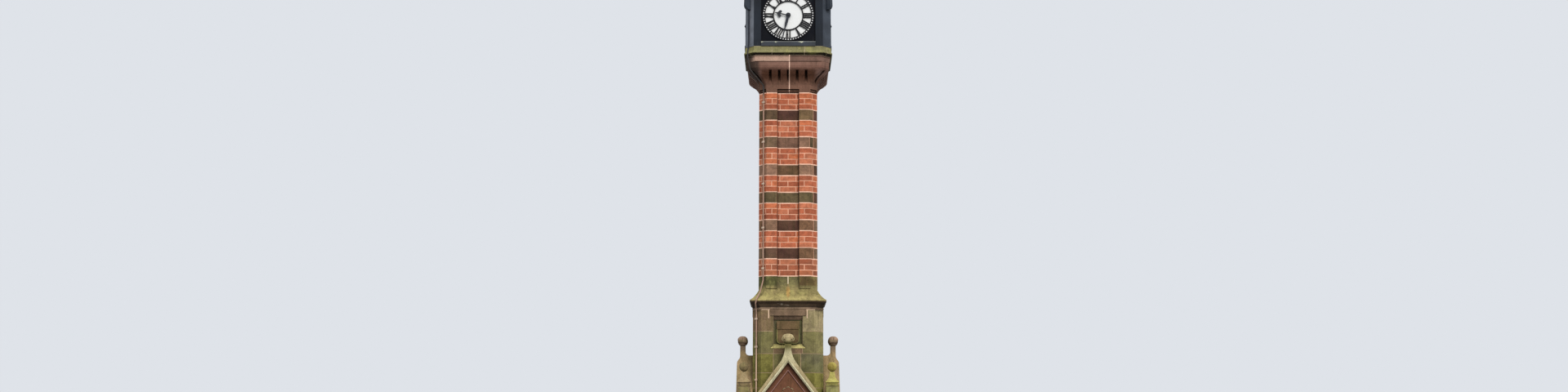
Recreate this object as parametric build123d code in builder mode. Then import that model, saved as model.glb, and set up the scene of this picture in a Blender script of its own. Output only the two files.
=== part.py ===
"""Free-standing memorial clock tower: stone base with gablets, brick shaft, cast-iron clock case.

Millimetres, +Z up. The origin is the centre of the lowest step's underside. The front looks towards -Y.
"""
from build123d import *
from math import atan, cos, radians, sin, sqrt
import os

os.makedirs("parts", exist_ok=True)

# Steps and plinth, below the stage that carries the gablets
step_rise = 150
lower_step_half = 1180
upper_step_half = 1000
step_nosing = 18
plinth_height = 280
plinth_half = 850
plinth_weathering = 60

# Lower stage: a square mass with a framed recess on every side
stage_height = 1261
frame_front = 744
frame_opening_half = 446
stage_panel_depth = 80
pier_width = 176
pier_centre = 627
pier_rise = 263
pier_roll_radius = 9
pier_roll_fillet = 8.1
edge_tolerance = 0.15
pier_roll_drop = 17

# Pier caps and balls
cap_neck_height = 28
cap_neck_inset = 10
cap_half = 96
cap_lip = 12
cap_rise = 150
cap_top_half = 38
cap_hollow_share = 0.24
cap_hollow_rise_share = 0.40
ball_radius = 67
ball_pin_radius = 19
ball_pin_height = 6

# Gablets
gablet_inner_apex = 575
gablet_inner_slope = 1.29
gablet_slope = 1.344
gablet_ridge = 699
gablet_shoulder_half = 124
gablet_neck_half = 45
gablet_neck_depth = 78
gablet_neck_centre = 660
gablet_neck_length = 40
gablet_curl_rise = 577
gablet_curl_height = 117
gablet_ridge_sweep = 55
hood_splay = 20
finial_radius = 74
finial_height = 142
finial_stem_half = 34
finial_curl_radius = 28
finial_curl_reach = 62
finial_curl_depth = 110
finial_curl_eye = 10
finial_curl_sinking = 9
tympanum_setback = 80
tympanum_frame = 62
tympanum_frame_step = 14
tympanum_clearance = 0.6
rosette_radius = 95
rosette_height = 143
rosette_petals = 8
rosette_eye_share = 0.34
rosette_pitch_share = 0.58
rosette_petal_share = 0.28

# Base block with shields
base_half = 508
base_leg = 127
base_height = 1342
shield_recess_half = 208
shield_recess_height = 350
shield_recess_depth = 45
shield_half = 164
shield_thickness = 30
shield_gap = 22
shield_corner = 58
shield_chief = 118
shield_chief_step = 8
label_half = 257
label_fascia_height = 94
label_projection = 8
label_tier_count = 2
label_tier_height = 26.5
label_tier_setback = 14
label_clearance = 0.3
sill_half = 254
sill_height = 64
sill_nosing = 5
sill_nosing_height = 12

# Moulding and weathered splay
moulding_height = 120
moulding_roll = 9
moulding_hollow = 4
splay_spread = 44
splay_lip_leg = 24
splay_height = 372
splay_lip_height = 16
splay_hollow_spread = 18
splay_hollow_rise = 132

# Shaft
shaft_half = 428
shaft_leg = 110
recess_half = 162
recess_depth = 50
brick_gauge = 82
brick_courses = 3
band_courses = 2
band_count = 6

# Corbel course and string course
corbel_height = 380
corbel_margin = 31
corbel_leg = 106
corbel_foot_height = 119
corbel_foot_spread = 4
corbel_band_height = 56
corbel_band_spread = 4
flare_hollow_share = 0.20
flare_hollow_rise = 76
flare_waist_share = 0.59
flare_waist_rise = 143
flare_brow_share = 0.92
flare_brow_rise = 200
flare_top_rise = 226
head_height = 26
head_roll_height = 18
head_roll_depth = 18
head_hollow_height = 16
head_hollow_depth = 34
corner_head_half = 68
corner_head_depth = 30
slot_width = 40
slot_pitch = 132
slots_per_side = 5
slot_back_spread = 12
slot_top_drop = 60
fascia_projection = 14
fascia_batter = 2
fascia_height = 67
roll_height = 27
roll_projection = 8
undercut_height = 28
undercut_fillet = 14
string_projection = 19
string_leg = 128
string_nose = 12
string_slope_foot = 30
string_height = 102
case_seat_margin = 3
case_seat_step = 2

# Clock case: the corbel, string course, cornice and roof follow its half width
case_half = 631
case_leg = 120
case_height = 1110
case_panel_half = 400
case_panel_depth = 25
case_sill_height = 74
case_sill_projection = 14
dial_rise = 467
glass_radius = 376
glass_thickness = 12
glass_hole_radius = 22
glass_clearance = 0.3

# Skeleton dials
dial_radius = 381
dial_thickness = 18
minute_ring_inner = 341
minute_opening_radius = 363
minute_opening_length = 18
minute_opening_width = 17
minute_openings = 60
hour_ring_outer = 226
hour_ring_inner = 211
numeral_stroke = 15
numeral_thin_stroke = 9

# Hands and their arbors
hand_thickness = 6
hand_clearance = 7
hand_gap = 6
hub_radius = 36
minute_length = 350
minute_root_half = 10
minute_leaf_half = 20
minute_leaf_middle = 95
minute_leaf_end = 200
minute_stem_half = 8
minute_point = 18
hour_length = 218
hour_neck_half = 8
hour_spade_foot = 120
hour_spade_horn = 100
hour_horn_half = 34
hour_spade_half = 50
hour_spade_middle = 118
hour_spade_head = 176
hour_spade_hollow = 18
hour_point = 14
arbor_radius = 8
sleeve_radius = 15
arbor_clearance = 0.08
arbor_depth = 60
minute_hand_angle = 193.7
hour_hand_angle = 282

# Brackets, eaves and roof
bracket_thickness = 52
bracket_foot = 560
bracket_projection = 92
bracket_belly_rise = 70
bracket_waist_rise = 240
bracket_waist_depth = 10
bracket_head_height = 70
bracket_setback = 12
eaves_height = 140
eaves_overhang = 150
eaves_leg = 150
soffit_overhang = 100
soffit_fillet = 24
eaves_crown_height = 44
eaves_crown_step = 10
eaves_arris = 12
roof_inset = 35
roof_edge = 14
roof_kick_height = 130
roof_kick_inset = 175
roof_kick_hollow = 46
roof_kick_spread = 62
roof_height = 1120
roof_top_half = 60
spike_base_radius = 84
spike_base_height = 18
spike_neck_radius = 34
spike_neck_foot = 40
spike_ball_radius = 78
spike_ball_height = 150
spike_root_radius = 20
spike_root_rise = 20
spike_tip_radius = 4
spike_height = 420

# Conduit and its saddles
conduit_radius = 10
conduit_standoff = 6
conduit_bend = 32
conduit_shift = 32
conduit_splay_reach = 60
conduit_lip_inset = 96
conduit_roll_shift = 24
saddle_half = 30
saddle_height = 26
saddle_wall = 5
saddle_strap = 1
shaft_saddle_shares = (0.04, 0.26, 0.50, 0.73, 0.95)
base_saddle_shares = (0.25, 0.60, 0.90)

# Widths and levels worked out from the sizes above
splay_lip_half = base_half + splay_spread
corbel_half = case_half - corbel_margin
fascia_half = corbel_half + fascia_projection
string_half = case_half + string_projection
soffit_half = case_half + soffit_overhang
eaves_half = case_half + eaves_overhang
roof_half = eaves_half - roof_inset
roof_kick_half = roof_half - roof_kick_inset
stage_foot = 2 * step_rise + plinth_height
stage_top = stage_foot + stage_height
pier_top = stage_top + pier_rise
base_top = stage_top + base_height
splay_foot = base_top + moulding_height
shaft_foot = splay_foot + splay_height
shaft_courses = brick_courses * (band_count + 1) + band_courses * band_count
shaft_top = shaft_foot + brick_gauge * shaft_courses
corbel_top = shaft_top + corbel_height + corbel_band_height
string_foot = corbel_top
string_top = string_foot + fascia_height + roll_height + undercut_height + string_height
dial_centre = string_top + dial_rise
case_top = string_top + case_height
eaves_top = case_top + eaves_height
roof_top = eaves_top + roof_height

SIDES = ("front", "right", "back", "left")
CORNERS = ("front_right", "back_right", "back_left", "front_left")


def side_turn(index):
    """Angle about +Z that carries the front onto side number index."""
    return 90 * index


def upright_plane(turn, setback=0, height=0):
    """Plane that faces outwards, local X to the right and local Y up, seen from outside."""
    angle = radians(turn)
    outward = Vector(sin(angle), -cos(angle), 0)
    across = Vector(cos(angle), sin(angle), 0)
    origin = outward * setback + Vector(0, 0, height)
    return Plane(origin=origin, x_dir=across, z_dir=outward)


def section_plane(turn, setback=0, height=0):
    """Upright plane that cuts a side down its middle, local X outwards and local Y up."""
    face = upright_plane(turn, setback, height)
    return Plane(origin=face.origin, x_dir=face.z_dir, z_dir=face.x_dir * -1)


def corner_reach(leg):
    """Gives the distance from the axis to a corner facet for a half width."""
    return lambda half: (2 * half - leg(half)) / sqrt(2)


def faceted_mass(draw_outline, leg):
    """Square mass with chamfered corners, whose sides and corner facets follow one outline."""
    span = 4 * lower_step_half
    with BuildPart() as mass:
        for index, turn in enumerate((0, 90, 45, 135)):
            reach = corner_reach(leg) if turn % 90 else (lambda half: half)
            with BuildSketch(upright_plane(turn)):
                with BuildLine():
                    draw_outline(reach)
                    mirror(about=Plane.YZ)
                make_face()
            extrude(amount=span / 2, both=True, mode=Mode.ADD if index == 0 else Mode.INTERSECT)
    return mass.part


def straight_outline(points):
    """Outline of straight runs from the axis round to the axis, as (half width, height) pairs."""
    def draw(reach):
        corners = [(reach(half) if half else 0, height) for half, height in points]
        Polyline(*corners)
    return draw


def constant_leg(size):
    return lambda half: size


def save(piece, name):
    piece.part.label = name
    export_step(piece.part, f"parts/{name}.step")


# Steps
with BuildPart() as lower_step:
    with BuildSketch():
        Rectangle(2 * lower_step_half, 2 * lower_step_half)
    extrude(amount=step_rise)
    fillet(lower_step.faces().sort_by(Axis.Z)[-1].edges(), radius=step_nosing)
save(lower_step, "lower_step")

with BuildPart() as upper_step:
    with BuildSketch(Plane.XY.offset(step_rise)):
        Rectangle(2 * upper_step_half, 2 * upper_step_half)
    extrude(amount=step_rise)
    fillet(upper_step.faces().sort_by(Axis.Z)[-1].edges(), radius=step_nosing)
save(upper_step, "upper_step")

# Plinth course with a weathered top edge
with BuildPart() as plinth_course:
    with BuildSketch(Plane.XY.offset(2 * step_rise)):
        Rectangle(2 * plinth_half, 2 * plinth_half)
    extrude(amount=plinth_height)
    chamfer(plinth_course.faces().sort_by(Axis.Z)[-1].edges(), length=plinth_weathering)
save(plinth_course, "plinth_course")

# Lower stage: cross-shaped in plan, so that the corner piers stand in its angles
pier_inner = pier_centre - pier_width / 2
with BuildPart() as lower_stage:
    with BuildSketch(Plane.XY.offset(stage_foot)):
        Rectangle(2 * pier_inner, 2 * frame_front)
        Rectangle(2 * frame_front, 2 * pier_inner)
    extrude(amount=stage_height)
    for index in range(4):
        with BuildSketch(upright_plane(side_turn(index), frame_front, stage_foot + stage_height / 2)):
            Rectangle(2 * frame_opening_half, stage_height)
        extrude(amount=-stage_panel_depth, mode=Mode.SUBTRACT)
save(lower_stage, "lower_stage")

# Corner piers
for corner, name in enumerate(CORNERS):
    turn = side_turn(corner) + 45
    centre = upright_plane(turn, pier_centre * sqrt(2)).origin
    with BuildPart() as corner_pier:
        with BuildSketch(Plane(origin=(centre.X, centre.Y, stage_foot))):
            Rectangle(pier_width, pier_width)
        extrude(amount=pier_top - stage_foot)
        with BuildSketch(Plane(origin=(centre.X, centre.Y, pier_top - pier_roll_drop - pier_roll_radius))):
            Rectangle(pier_width + 2 * pier_roll_radius, pier_width + 2 * pier_roll_radius)
        extrude(amount=2 * pier_roll_radius)
        roll_edges = [edge for edge in corner_pier.edges().filter_by(Plane.XY)
                      if abs(edge.length - pier_width - 2 * pier_roll_radius) < edge_tolerance]
        fillet(roll_edges, radius=pier_roll_fillet)
    save(corner_pier, f"corner_pier_{name}")

# Pier caps: four concave sides under a ball, square in plan
cap_foot = pier_top + cap_neck_height


def draw_cap_side():
    """Outline of one elevation of a cap, drawn to the right of its axis."""
    lip_top = cap_foot + cap_lip
    top = cap_foot + cap_rise
    neck_half = pier_width / 2 - cap_neck_inset
    hollow = (cap_top_half + (cap_half - cap_top_half) * cap_hollow_share,
              lip_top + (top - lip_top) * cap_hollow_rise_share)
    Line((0, cap_foot - cap_neck_height), (neck_half, cap_foot - cap_neck_height))
    Line((neck_half, cap_foot - cap_neck_height), (neck_half, cap_foot))
    Line((neck_half, cap_foot), (cap_half, cap_foot))
    Line((cap_half, cap_foot), (cap_half, lip_top))
    ThreePointArc((cap_half, lip_top), hollow, (cap_top_half, top))
    Line((cap_top_half, top), (0, top))
    mirror(about=Plane.YZ)


for corner, name in enumerate(CORNERS):
    turn = side_turn(corner) + 45
    centre = upright_plane(turn, pier_centre * sqrt(2)).origin
    ball_height = cap_foot + cap_rise + ball_pin_height + ball_radius
    with BuildPart() as pier_finial:
        for index, facing in enumerate((0, 90)):
            plane = upright_plane(facing)
            plane.origin = Vector(centre.X, centre.Y, 0)
            with BuildSketch(plane):
                with BuildLine():
                    draw_cap_side()
                make_face()
            extrude(amount=cap_half, both=True, mode=Mode.ADD if index == 0 else Mode.INTERSECT)
        with BuildSketch(Plane(origin=(centre.X, centre.Y, cap_foot + cap_rise))):
            Circle(ball_pin_radius)
        extrude(amount=ball_pin_height + ball_radius / 2)
        with Locations((centre.X, centre.Y, ball_height)):
            Sphere(ball_radius)
    save(pier_finial, f"pier_finial_{name}")

# Gablets: a front outline crossed with a side outline
spring = stage_top
rake_angle = atan(1 / gablet_slope)
rake_curve = (gablet_shoulder_half - gablet_neck_half) / (1 - cos(rake_angle))
shoulder_height = spring + (pier_inner - gablet_shoulder_half) * gablet_slope
neck_foot = shoulder_height + rake_curve * sin(rake_angle)
neck_top = neck_foot + gablet_neck_length
ridge_height = spring + gablet_ridge
neck_front = gablet_neck_centre + gablet_neck_depth / 2
neck_back = gablet_neck_centre - gablet_neck_depth / 2


def draw_gablet_front():
    """Right half of the rakes and neck, seen from the front."""
    Line((0, spring), (pier_inner, spring))
    Line((pier_inner, spring), (gablet_shoulder_half, shoulder_height))
    shoulder = (gablet_shoulder_half, shoulder_height)
    TangentArc(shoulder, (gablet_neck_half, neck_foot), tangent=(-1, gablet_slope))
    Line((gablet_neck_half, neck_foot), (gablet_neck_half, neck_top))
    Line((gablet_neck_half, neck_top), (0, neck_top))


def draw_opening(rise):
    """Triangular opening under the rakes, from the springing up to its apex."""
    half = rise / gablet_inner_slope
    Polyline((-half, spring), (half, spring), (0, spring + rise), (-half, spring))


def draw_gablet_side():
    """Profile from the wall out to the face; X is minus the distance from the tower's axis."""
    curl_foot = spring + gablet_curl_rise
    curl_middle = ((frame_front + neck_front) / 2, curl_foot + gablet_curl_height / 2)
    curl_top = curl_foot + gablet_curl_height
    sweep_top = ridge_height + gablet_ridge_sweep
    Polyline((neck_back, sweep_top), (neck_back, neck_top), (neck_front, neck_top), (neck_front, curl_top))
    TangentArc((neck_front, curl_top), curl_middle, tangent=(0, -1))
    TangentArc((frame_front, curl_foot), curl_middle, tangent=(0, 1))
    Polyline((frame_front, curl_foot), (frame_front, spring), (base_half, spring), (base_half, ridge_height),
             (neck_back - gablet_ridge_sweep, ridge_height))
    TangentArc((neck_back, sweep_top), (neck_back - gablet_ridge_sweep, ridge_height), tangent=(0, -1))


with BuildPart() as gablet_mass:
    with BuildSketch(upright_plane(0)):
        with BuildLine():
            draw_gablet_front()
            mirror(about=Plane.YZ)
        make_face()
    extrude(amount=frame_front)
    with BuildSketch(Plane(origin=(0, 0, 0), x_dir=(0, -1, 0), z_dir=(-1, 0, 0))):
        with BuildLine():
            draw_gablet_side()
        make_face()
    extrude(amount=pier_inner, both=True, mode=Mode.INTERSECT)
    with BuildSketch(upright_plane(0)):
        with BuildLine():
            draw_opening(gablet_inner_apex)
        make_face()
    extrude(amount=frame_front, mode=Mode.SUBTRACT)
    with BuildSketch(upright_plane(0, base_half)):
        with Locations((pier_inner, spring + gablet_ridge / 2), (-pier_inner, spring + gablet_ridge / 2)):
            Rectangle(2 * (pier_inner - base_half), gablet_ridge)
    extrude(amount=pier_inner - base_half, mode=Mode.SUBTRACT)
    hood_spread = hood_splay * sqrt(1 + gablet_inner_slope**2)
    for sinking in (0, hood_splay):
        with BuildSketch(upright_plane(0, frame_front - sinking)):
            with BuildLine():
                draw_opening(gablet_inner_apex + hood_spread * (1 - sinking / hood_splay))
            make_face()
    loft(ruled=True, mode=Mode.SUBTRACT)

# Gablet finial: a bulb with a curled leaf on either hand
with BuildPart() as finial_mass:
    with BuildSketch(Plane.XZ):
        with BuildLine():
            crown = neck_top + finial_height
            bulb_middle = crown - finial_radius
            Line((0, neck_top), (finial_stem_half, neck_top))
            TangentArc((finial_radius, bulb_middle), (finial_stem_half, neck_top), tangent=(0, -1))
            CenterArc((0, bulb_middle), finial_radius, 0, 90)
            Line((0, crown), (0, neck_top))
        make_face()
    revolve(axis=Axis.Z)
    with BuildSketch(Plane.XZ.offset(-finial_curl_depth / 2)):
        with Locations((finial_curl_reach, bulb_middle), (-finial_curl_reach, bulb_middle)):
            Circle(finial_curl_radius)
    extrude(amount=finial_curl_depth)
    for end in (-1, 1):
        with BuildSketch(Plane.XZ.offset(end * finial_curl_depth / 2)):
            with Locations((finial_curl_reach, bulb_middle), (-finial_curl_reach, bulb_middle)):
                Circle(finial_curl_radius - finial_curl_sinking)
                Circle(finial_curl_eye, mode=Mode.SUBTRACT)
        extrude(amount=-end * finial_curl_sinking, mode=Mode.SUBTRACT)

for index, name in enumerate(SIDES):
    finial_place = upright_plane(side_turn(index), gablet_neck_centre).origin
    with BuildPart() as gablet:
        add(gablet_mass.part.rotate(Axis.Z, side_turn(index)))
        turned_finial = finial_mass.part.rotate(Axis.Z, side_turn(index))
        add(turned_finial.translate((finial_place.X, finial_place.Y, 0)))
    save(gablet, f"gablet_{name}")

# Tympanum slabs inside the gablets, with a moulded frame and a plain rosette
with BuildPart() as tympanum_panels:
    for index in range(4):
        turn = side_turn(index)
        face = frame_front - tympanum_setback
        half = gablet_inner_apex / gablet_inner_slope - tympanum_clearance
        rise = gablet_inner_apex - tympanum_clearance * gablet_inner_slope
        with BuildSketch(upright_plane(turn, base_half, spring)):
            with BuildLine():
                Polyline((-half, 0), (half, 0), (0, rise), (-half, 0))
            make_face()
        extrude(amount=face - base_half)
        with BuildSketch(upright_plane(turn, face, spring)):
            with BuildLine():
                inset = half - tympanum_frame * sqrt(1 + gablet_inner_slope**2) / gablet_inner_slope
                Polyline((-inset, 0), (inset, 0), (0, inset * gablet_inner_slope), (-inset, 0))
            make_face()
        extrude(amount=-tympanum_frame_step, mode=Mode.SUBTRACT)
        with BuildSketch(upright_plane(turn, face - tympanum_frame_step, spring + rosette_height)):
            Circle(rosette_radius * rosette_eye_share)
            with PolarLocations(rosette_radius * rosette_pitch_share, rosette_petals):
                Circle(rosette_radius * rosette_petal_share)
        extrude(amount=tympanum_frame_step)
save(tympanum_panels, "tympanum_panels")

# Base block
base_corners = [(0, stage_top), (base_half, stage_top), (base_half, base_top), (0, base_top)]
base_outline = straight_outline(base_corners)
base_mass = faceted_mass(base_outline, constant_leg(base_leg))
label_foot = base_top - label_fascia_height - label_tier_count * label_tier_height
recess_foot = label_foot - shield_recess_height
recess_head = base_top - label_fascia_height


def draw_sill_face(margin):
    """Face of the splayed sill: as wide as the recess at its head, wider at its nosing."""
    foot = -sill_height
    Polyline((-sill_half + margin, foot), (sill_half - margin, foot), (shield_recess_half - margin, 0),
             (margin - shield_recess_half, 0), (-sill_half + margin, foot))


with BuildPart() as base_block:
    add(base_mass)
    for index in range(4):
        with BuildSketch(upright_plane(side_turn(index), base_half, (recess_foot + recess_head) / 2)):
            Rectangle(2 * shield_recess_half, recess_head - recess_foot)
        extrude(amount=-shield_recess_depth, mode=Mode.SUBTRACT)
        with BuildSketch(upright_plane(side_turn(index), base_half, recess_foot)):
            with BuildLine():
                draw_sill_face(0)
            make_face()
        extrude(amount=-shield_recess_depth, mode=Mode.SUBTRACT)
save(base_block, "base_block")

# Blank shields, one in each recess
shield_height = shield_recess_height - shield_gap
with BuildPart() as shield_tablets:
    for index in range(4):
        back = base_half - shield_recess_depth
        middle = recess_foot + shield_height / 2
        with BuildSketch(upright_plane(side_turn(index), back, middle)) as shield_face:
            Rectangle(2 * shield_half, shield_height)
            fillet(shield_face.vertices().group_by(Axis.Z)[0], radius=shield_corner)
        extrude(amount=shield_thickness)
        with BuildSketch(upright_plane(side_turn(index), back + shield_thickness,
                                       recess_foot + shield_height - shield_chief / 2)):
            Rectangle(2 * shield_half, shield_chief)
        extrude(amount=shield_chief_step)
save(shield_tablets, "shield_tablets")

# Label mouldings over the shields: a fascia on the face, then tiers that step back into the recess
with BuildPart() as label_mouldings:
    for index in range(4):
        with BuildSketch(upright_plane(side_turn(index), base_half, recess_head + label_fascia_height / 2)):
            Rectangle(2 * label_half, label_fascia_height)
        extrude(amount=label_projection)
        for tier in range(label_tier_count):
            tier_head = recess_head - tier * label_tier_height
            tier_depth = shield_recess_depth - (tier + 1) * label_tier_setback
            back = base_half - shield_recess_depth
            with BuildSketch(upright_plane(side_turn(index), back, tier_head - label_tier_height / 2)):
                Rectangle(2 * (shield_recess_half - label_clearance), label_tier_height)
            extrude(amount=tier_depth)
save(label_mouldings, "label_mouldings")

# Splayed sills under the shields
with BuildPart() as sill_bars:
    for index in range(4):
        nosing_head = sill_nosing_height - sill_height
        with BuildSketch(section_plane(side_turn(index), base_half, recess_foot)):
            with BuildLine():
                Polyline((-shield_recess_depth, 0), (-shield_recess_depth, -sill_height),
                         (sill_nosing, -sill_height), (sill_nosing, nosing_head), (0, nosing_head),
                         (-shield_recess_depth, 0))
            make_face()
        extrude(amount=sill_half, both=True)
with BuildPart() as shield_sills:
    for index in range(4):
        with BuildSketch(upright_plane(side_turn(index), base_half + sill_nosing, recess_foot)):
            with BuildLine():
                draw_sill_face(label_clearance)
            make_face()
        extrude(amount=-shield_recess_depth - sill_nosing)
    add(sill_bars.part, mode=Mode.INTERSECT)
save(shield_sills, "shield_sills")


# Moulding course under the splay
def splay_leg(half):
    """Corner facets narrow as the stone spreads."""
    share = (half - base_half) / (splay_lip_half - base_half)
    return base_leg + (splay_lip_leg - base_leg) * share


def draw_moulding(reach):
    """A roll, then a hollow that sweeps out to the lip of the splay."""
    roll_top = base_top + 2 * moulding_roll
    hollow_foot = roll_top + moulding_roll
    hollow_top = splay_foot - splay_lip_height
    neck = reach(base_half + moulding_hollow)
    hollow_end = reach(splay_lip_half - moulding_hollow)
    Line((0, base_top), (reach(base_half), base_top))
    ThreePointArc((reach(base_half), base_top),
                  (reach(base_half + moulding_roll), base_top + moulding_roll), (neck, roll_top))
    Line((neck, roll_top), (neck, hollow_foot))
    RadiusArc((neck, hollow_foot), (hollow_end, hollow_top), moulding_height)
    Polyline((hollow_end, hollow_top), (reach(splay_lip_half), hollow_top),
             (reach(splay_lip_half), splay_foot), (0, splay_foot))


moulding_mass = faceted_mass(draw_moulding, splay_leg)
with BuildPart() as base_moulding:
    add(moulding_mass)
save(base_moulding, "base_moulding")


# Weathered splay: concave sides, with the shaft's pilasters dying into it
def draw_splay(reach):
    lip = splay_foot + splay_lip_height
    inner = shaft_half - recess_depth
    Line((0, splay_foot), (reach(splay_lip_half), splay_foot))
    Line((reach(splay_lip_half), splay_foot), (reach(splay_lip_half), lip))
    ThreePointArc((reach(splay_lip_half), lip),
                  (reach(shaft_half + splay_hollow_spread), splay_foot + splay_hollow_rise),
                  (reach(inner), shaft_foot))
    Line((reach(inner), shaft_foot), (0, shaft_foot))


def splay_facet_leg(half):
    """Corner facet of the splay: as wide as the shaft's at the top, almost none at the lip."""
    if half >= shaft_half:
        return shaft_leg + (splay_lip_leg - shaft_leg) * (half - shaft_half) / (splay_lip_half - shaft_half)
    return shaft_leg - 2 * (shaft_half - half)


def shaft_sketch():
    """Plan of the shaft: a square with chamfered corners and a shallow recess on every side."""
    with BuildSketch() as plan:
        Rectangle(2 * shaft_half, 2 * shaft_half)
        chamfer(plan.vertices(), length=shaft_leg)
        with PolarLocations(shaft_half, 4):
            Rectangle(2 * recess_depth, 2 * recess_half, mode=Mode.SUBTRACT)
    return plan.sketch


shaft_plan = shaft_sketch()
splay_mass = faceted_mass(draw_splay, splay_facet_leg)
with BuildPart() as weathered_splay:
    add(splay_mass)
    with BuildSketch(Plane.XY.offset(splay_foot + splay_height / 2)):
        add(shaft_plan)
    extrude(amount=splay_height / 2)
save(weathered_splay, "weathered_splay")

# Shaft: groups of brick courses between stone bands
brick_height = brick_courses * brick_gauge
band_height = band_courses * brick_gauge
shaft_period = brick_height + band_height
with BuildPart() as shaft_brickwork:
    for group in range(band_count + 1):
        with BuildSketch(Plane.XY.offset(shaft_foot + group * shaft_period)):
            add(shaft_plan)
        extrude(amount=brick_height)
save(shaft_brickwork, "shaft_brickwork")

with BuildPart() as shaft_bands:
    for group in range(band_count):
        with BuildSketch(Plane.XY.offset(shaft_foot + brick_height + group * shaft_period)):
            add(shaft_plan)
        extrude(amount=band_height)
save(shaft_bands, "shaft_bands")


# Corbel course: a concave flare cut by upright slots, over moulded heads
flare_foot = shaft_top + corbel_foot_height
flare_corner = corner_reach(constant_leg(corbel_leg))


def flare_half(share):
    """Half width part of the way from the shaft out to the corbel's top."""
    return shaft_half + (corbel_half - shaft_half) * share


def draw_corbel(reach):
    foot_half = shaft_half + corbel_foot_spread
    band_foot = shaft_top + corbel_height
    waist = (reach(flare_half(flare_waist_share)), flare_foot + flare_waist_rise)
    Line((0, shaft_top), (reach(shaft_half), shaft_top))
    Line((reach(shaft_half), shaft_top), (reach(foot_half), flare_foot))
    ThreePointArc((reach(foot_half), flare_foot),
                  (reach(flare_half(flare_hollow_share)), flare_foot + flare_hollow_rise), waist)
    Polyline(waist, (reach(flare_half(flare_brow_share)), flare_foot + flare_brow_rise),
             (reach(corbel_half), flare_foot + flare_top_rise), (reach(corbel_half), band_foot),
             (reach(corbel_half + corbel_band_spread), corbel_top), (0, corbel_top))


def draw_head(face, depth):
    """Section of a moulded head: a deep step, a roll that stands forward and a hollow above it."""
    roll_foot = shaft_top + head_height
    roll_top = roll_foot + head_roll_height
    back = face - depth
    roll_face = face - depth * head_roll_depth / recess_depth
    hollow_back = face - depth * head_hollow_depth / recess_depth
    clear = face + recess_depth
    Polyline((clear, shaft_top), (back, shaft_top), (back, roll_foot), (hollow_back, roll_foot))
    ThreePointArc((hollow_back, roll_foot), (roll_face, (roll_foot + roll_top) / 2), (hollow_back, roll_top))
    Polyline((hollow_back, roll_top), (hollow_back, roll_top + head_hollow_height),
             (clear, roll_top + head_hollow_height), (clear, shaft_top))


corbel_mass = faceted_mass(draw_corbel, constant_leg(corbel_leg))
slot_height = corbel_height - corbel_foot_height - slot_top_drop
slot_middle = flare_foot + slot_height / 2
slot_back = shaft_half + slot_back_spread
head_cuts = ((0, shaft_half, recess_depth, recess_half),
             (45, flare_corner(shaft_half), corner_head_depth, corner_head_half))
with BuildPart() as corbel_course:
    add(corbel_mass)
    for index in range(4):
        with BuildSketch(upright_plane(side_turn(index), slot_back, slot_middle)):
            with GridLocations(slot_pitch, 1, slots_per_side, 1):
                Rectangle(slot_width, slot_height)
        extrude(amount=corbel_half, mode=Mode.SUBTRACT)
        with BuildSketch(upright_plane(side_turn(index) + 45, flare_corner(slot_back), slot_middle)):
            Rectangle(slot_width, slot_height)
        extrude(amount=corbel_half, mode=Mode.SUBTRACT)
        for turn, face, depth, half in head_cuts:
            with BuildSketch(section_plane(side_turn(index) + turn)):
                with BuildLine():
                    draw_head(face, depth)
                make_face()
            extrude(amount=half, both=True, mode=Mode.SUBTRACT)
save(corbel_course, "corbel_course")


# String course: fascia, roll, undercut and weathered top
def draw_string(reach):
    fascia_top = string_foot + fascia_height
    roll_top = fascia_top + roll_height
    drip = roll_top + undercut_height
    Line((0, string_foot), (reach(fascia_half - fascia_batter), string_foot))
    Line((reach(fascia_half - fascia_batter), string_foot), (reach(fascia_half), fascia_top))
    ThreePointArc((reach(fascia_half), fascia_top),
                  (reach(fascia_half + roll_projection), fascia_top + roll_height / 2),
                  (reach(fascia_half), roll_top))
    fillet_half = (fascia_half + string_half) / 2
    Polyline((reach(fascia_half), roll_top), (reach(fascia_half), roll_top + undercut_fillet),
             (reach(fillet_half), roll_top + undercut_fillet), (reach(fillet_half), drip),
             (reach(string_half), drip), (reach(string_half), drip + string_nose),
             (reach(case_half + case_seat_margin), drip + string_nose + string_slope_foot),
             (reach(case_half + case_seat_margin - case_seat_step), string_top), (0, string_top))


string_mass = faceted_mass(draw_string, constant_leg(string_leg))
with BuildPart() as string_course:
    add(string_mass)
save(string_course, "string_course")

# Clock case: closed housing with a square recess and a dial seat on every side
case_corners = [(0, string_top), (case_half, string_top), (case_half, case_top), (0, case_top)]
case_outline = straight_outline(case_corners)
case_mass = faceted_mass(case_outline, constant_leg(case_leg))
panel_plane = case_half - case_panel_depth
glass_back = panel_plane - glass_thickness
with BuildPart() as clock_case:
    add(case_mass)
    for index in range(4):
        with BuildSketch(upright_plane(side_turn(index), case_half, dial_centre)):
            Rectangle(2 * case_panel_half, 2 * case_panel_half)
        extrude(amount=-case_panel_depth, mode=Mode.SUBTRACT)
        with BuildSketch(upright_plane(side_turn(index), panel_plane, dial_centre)):
            Circle(glass_radius)
        extrude(amount=-glass_thickness, mode=Mode.SUBTRACT)
        with BuildSketch(upright_plane(side_turn(index), glass_back, dial_centre)):
            Circle(sleeve_radius + arbor_clearance)
        extrude(amount=-arbor_depth, mode=Mode.SUBTRACT)
save(clock_case, "clock_case")

# Sill rails under the dial recesses
with BuildPart() as dial_sills:
    for index in range(4):
        with BuildSketch(section_plane(side_turn(index), case_half, string_top)):
            with BuildLine():
                rail_head = case_sill_height - glass_clearance
                Polyline((0, glass_clearance), (case_sill_projection, glass_clearance),
                         (case_sill_projection, rail_head - case_sill_projection), (0, rail_head),
                         (0, glass_clearance))
            make_face()
        extrude(amount=case_panel_half, both=True)
save(dial_sills, "dial_sills")

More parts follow.
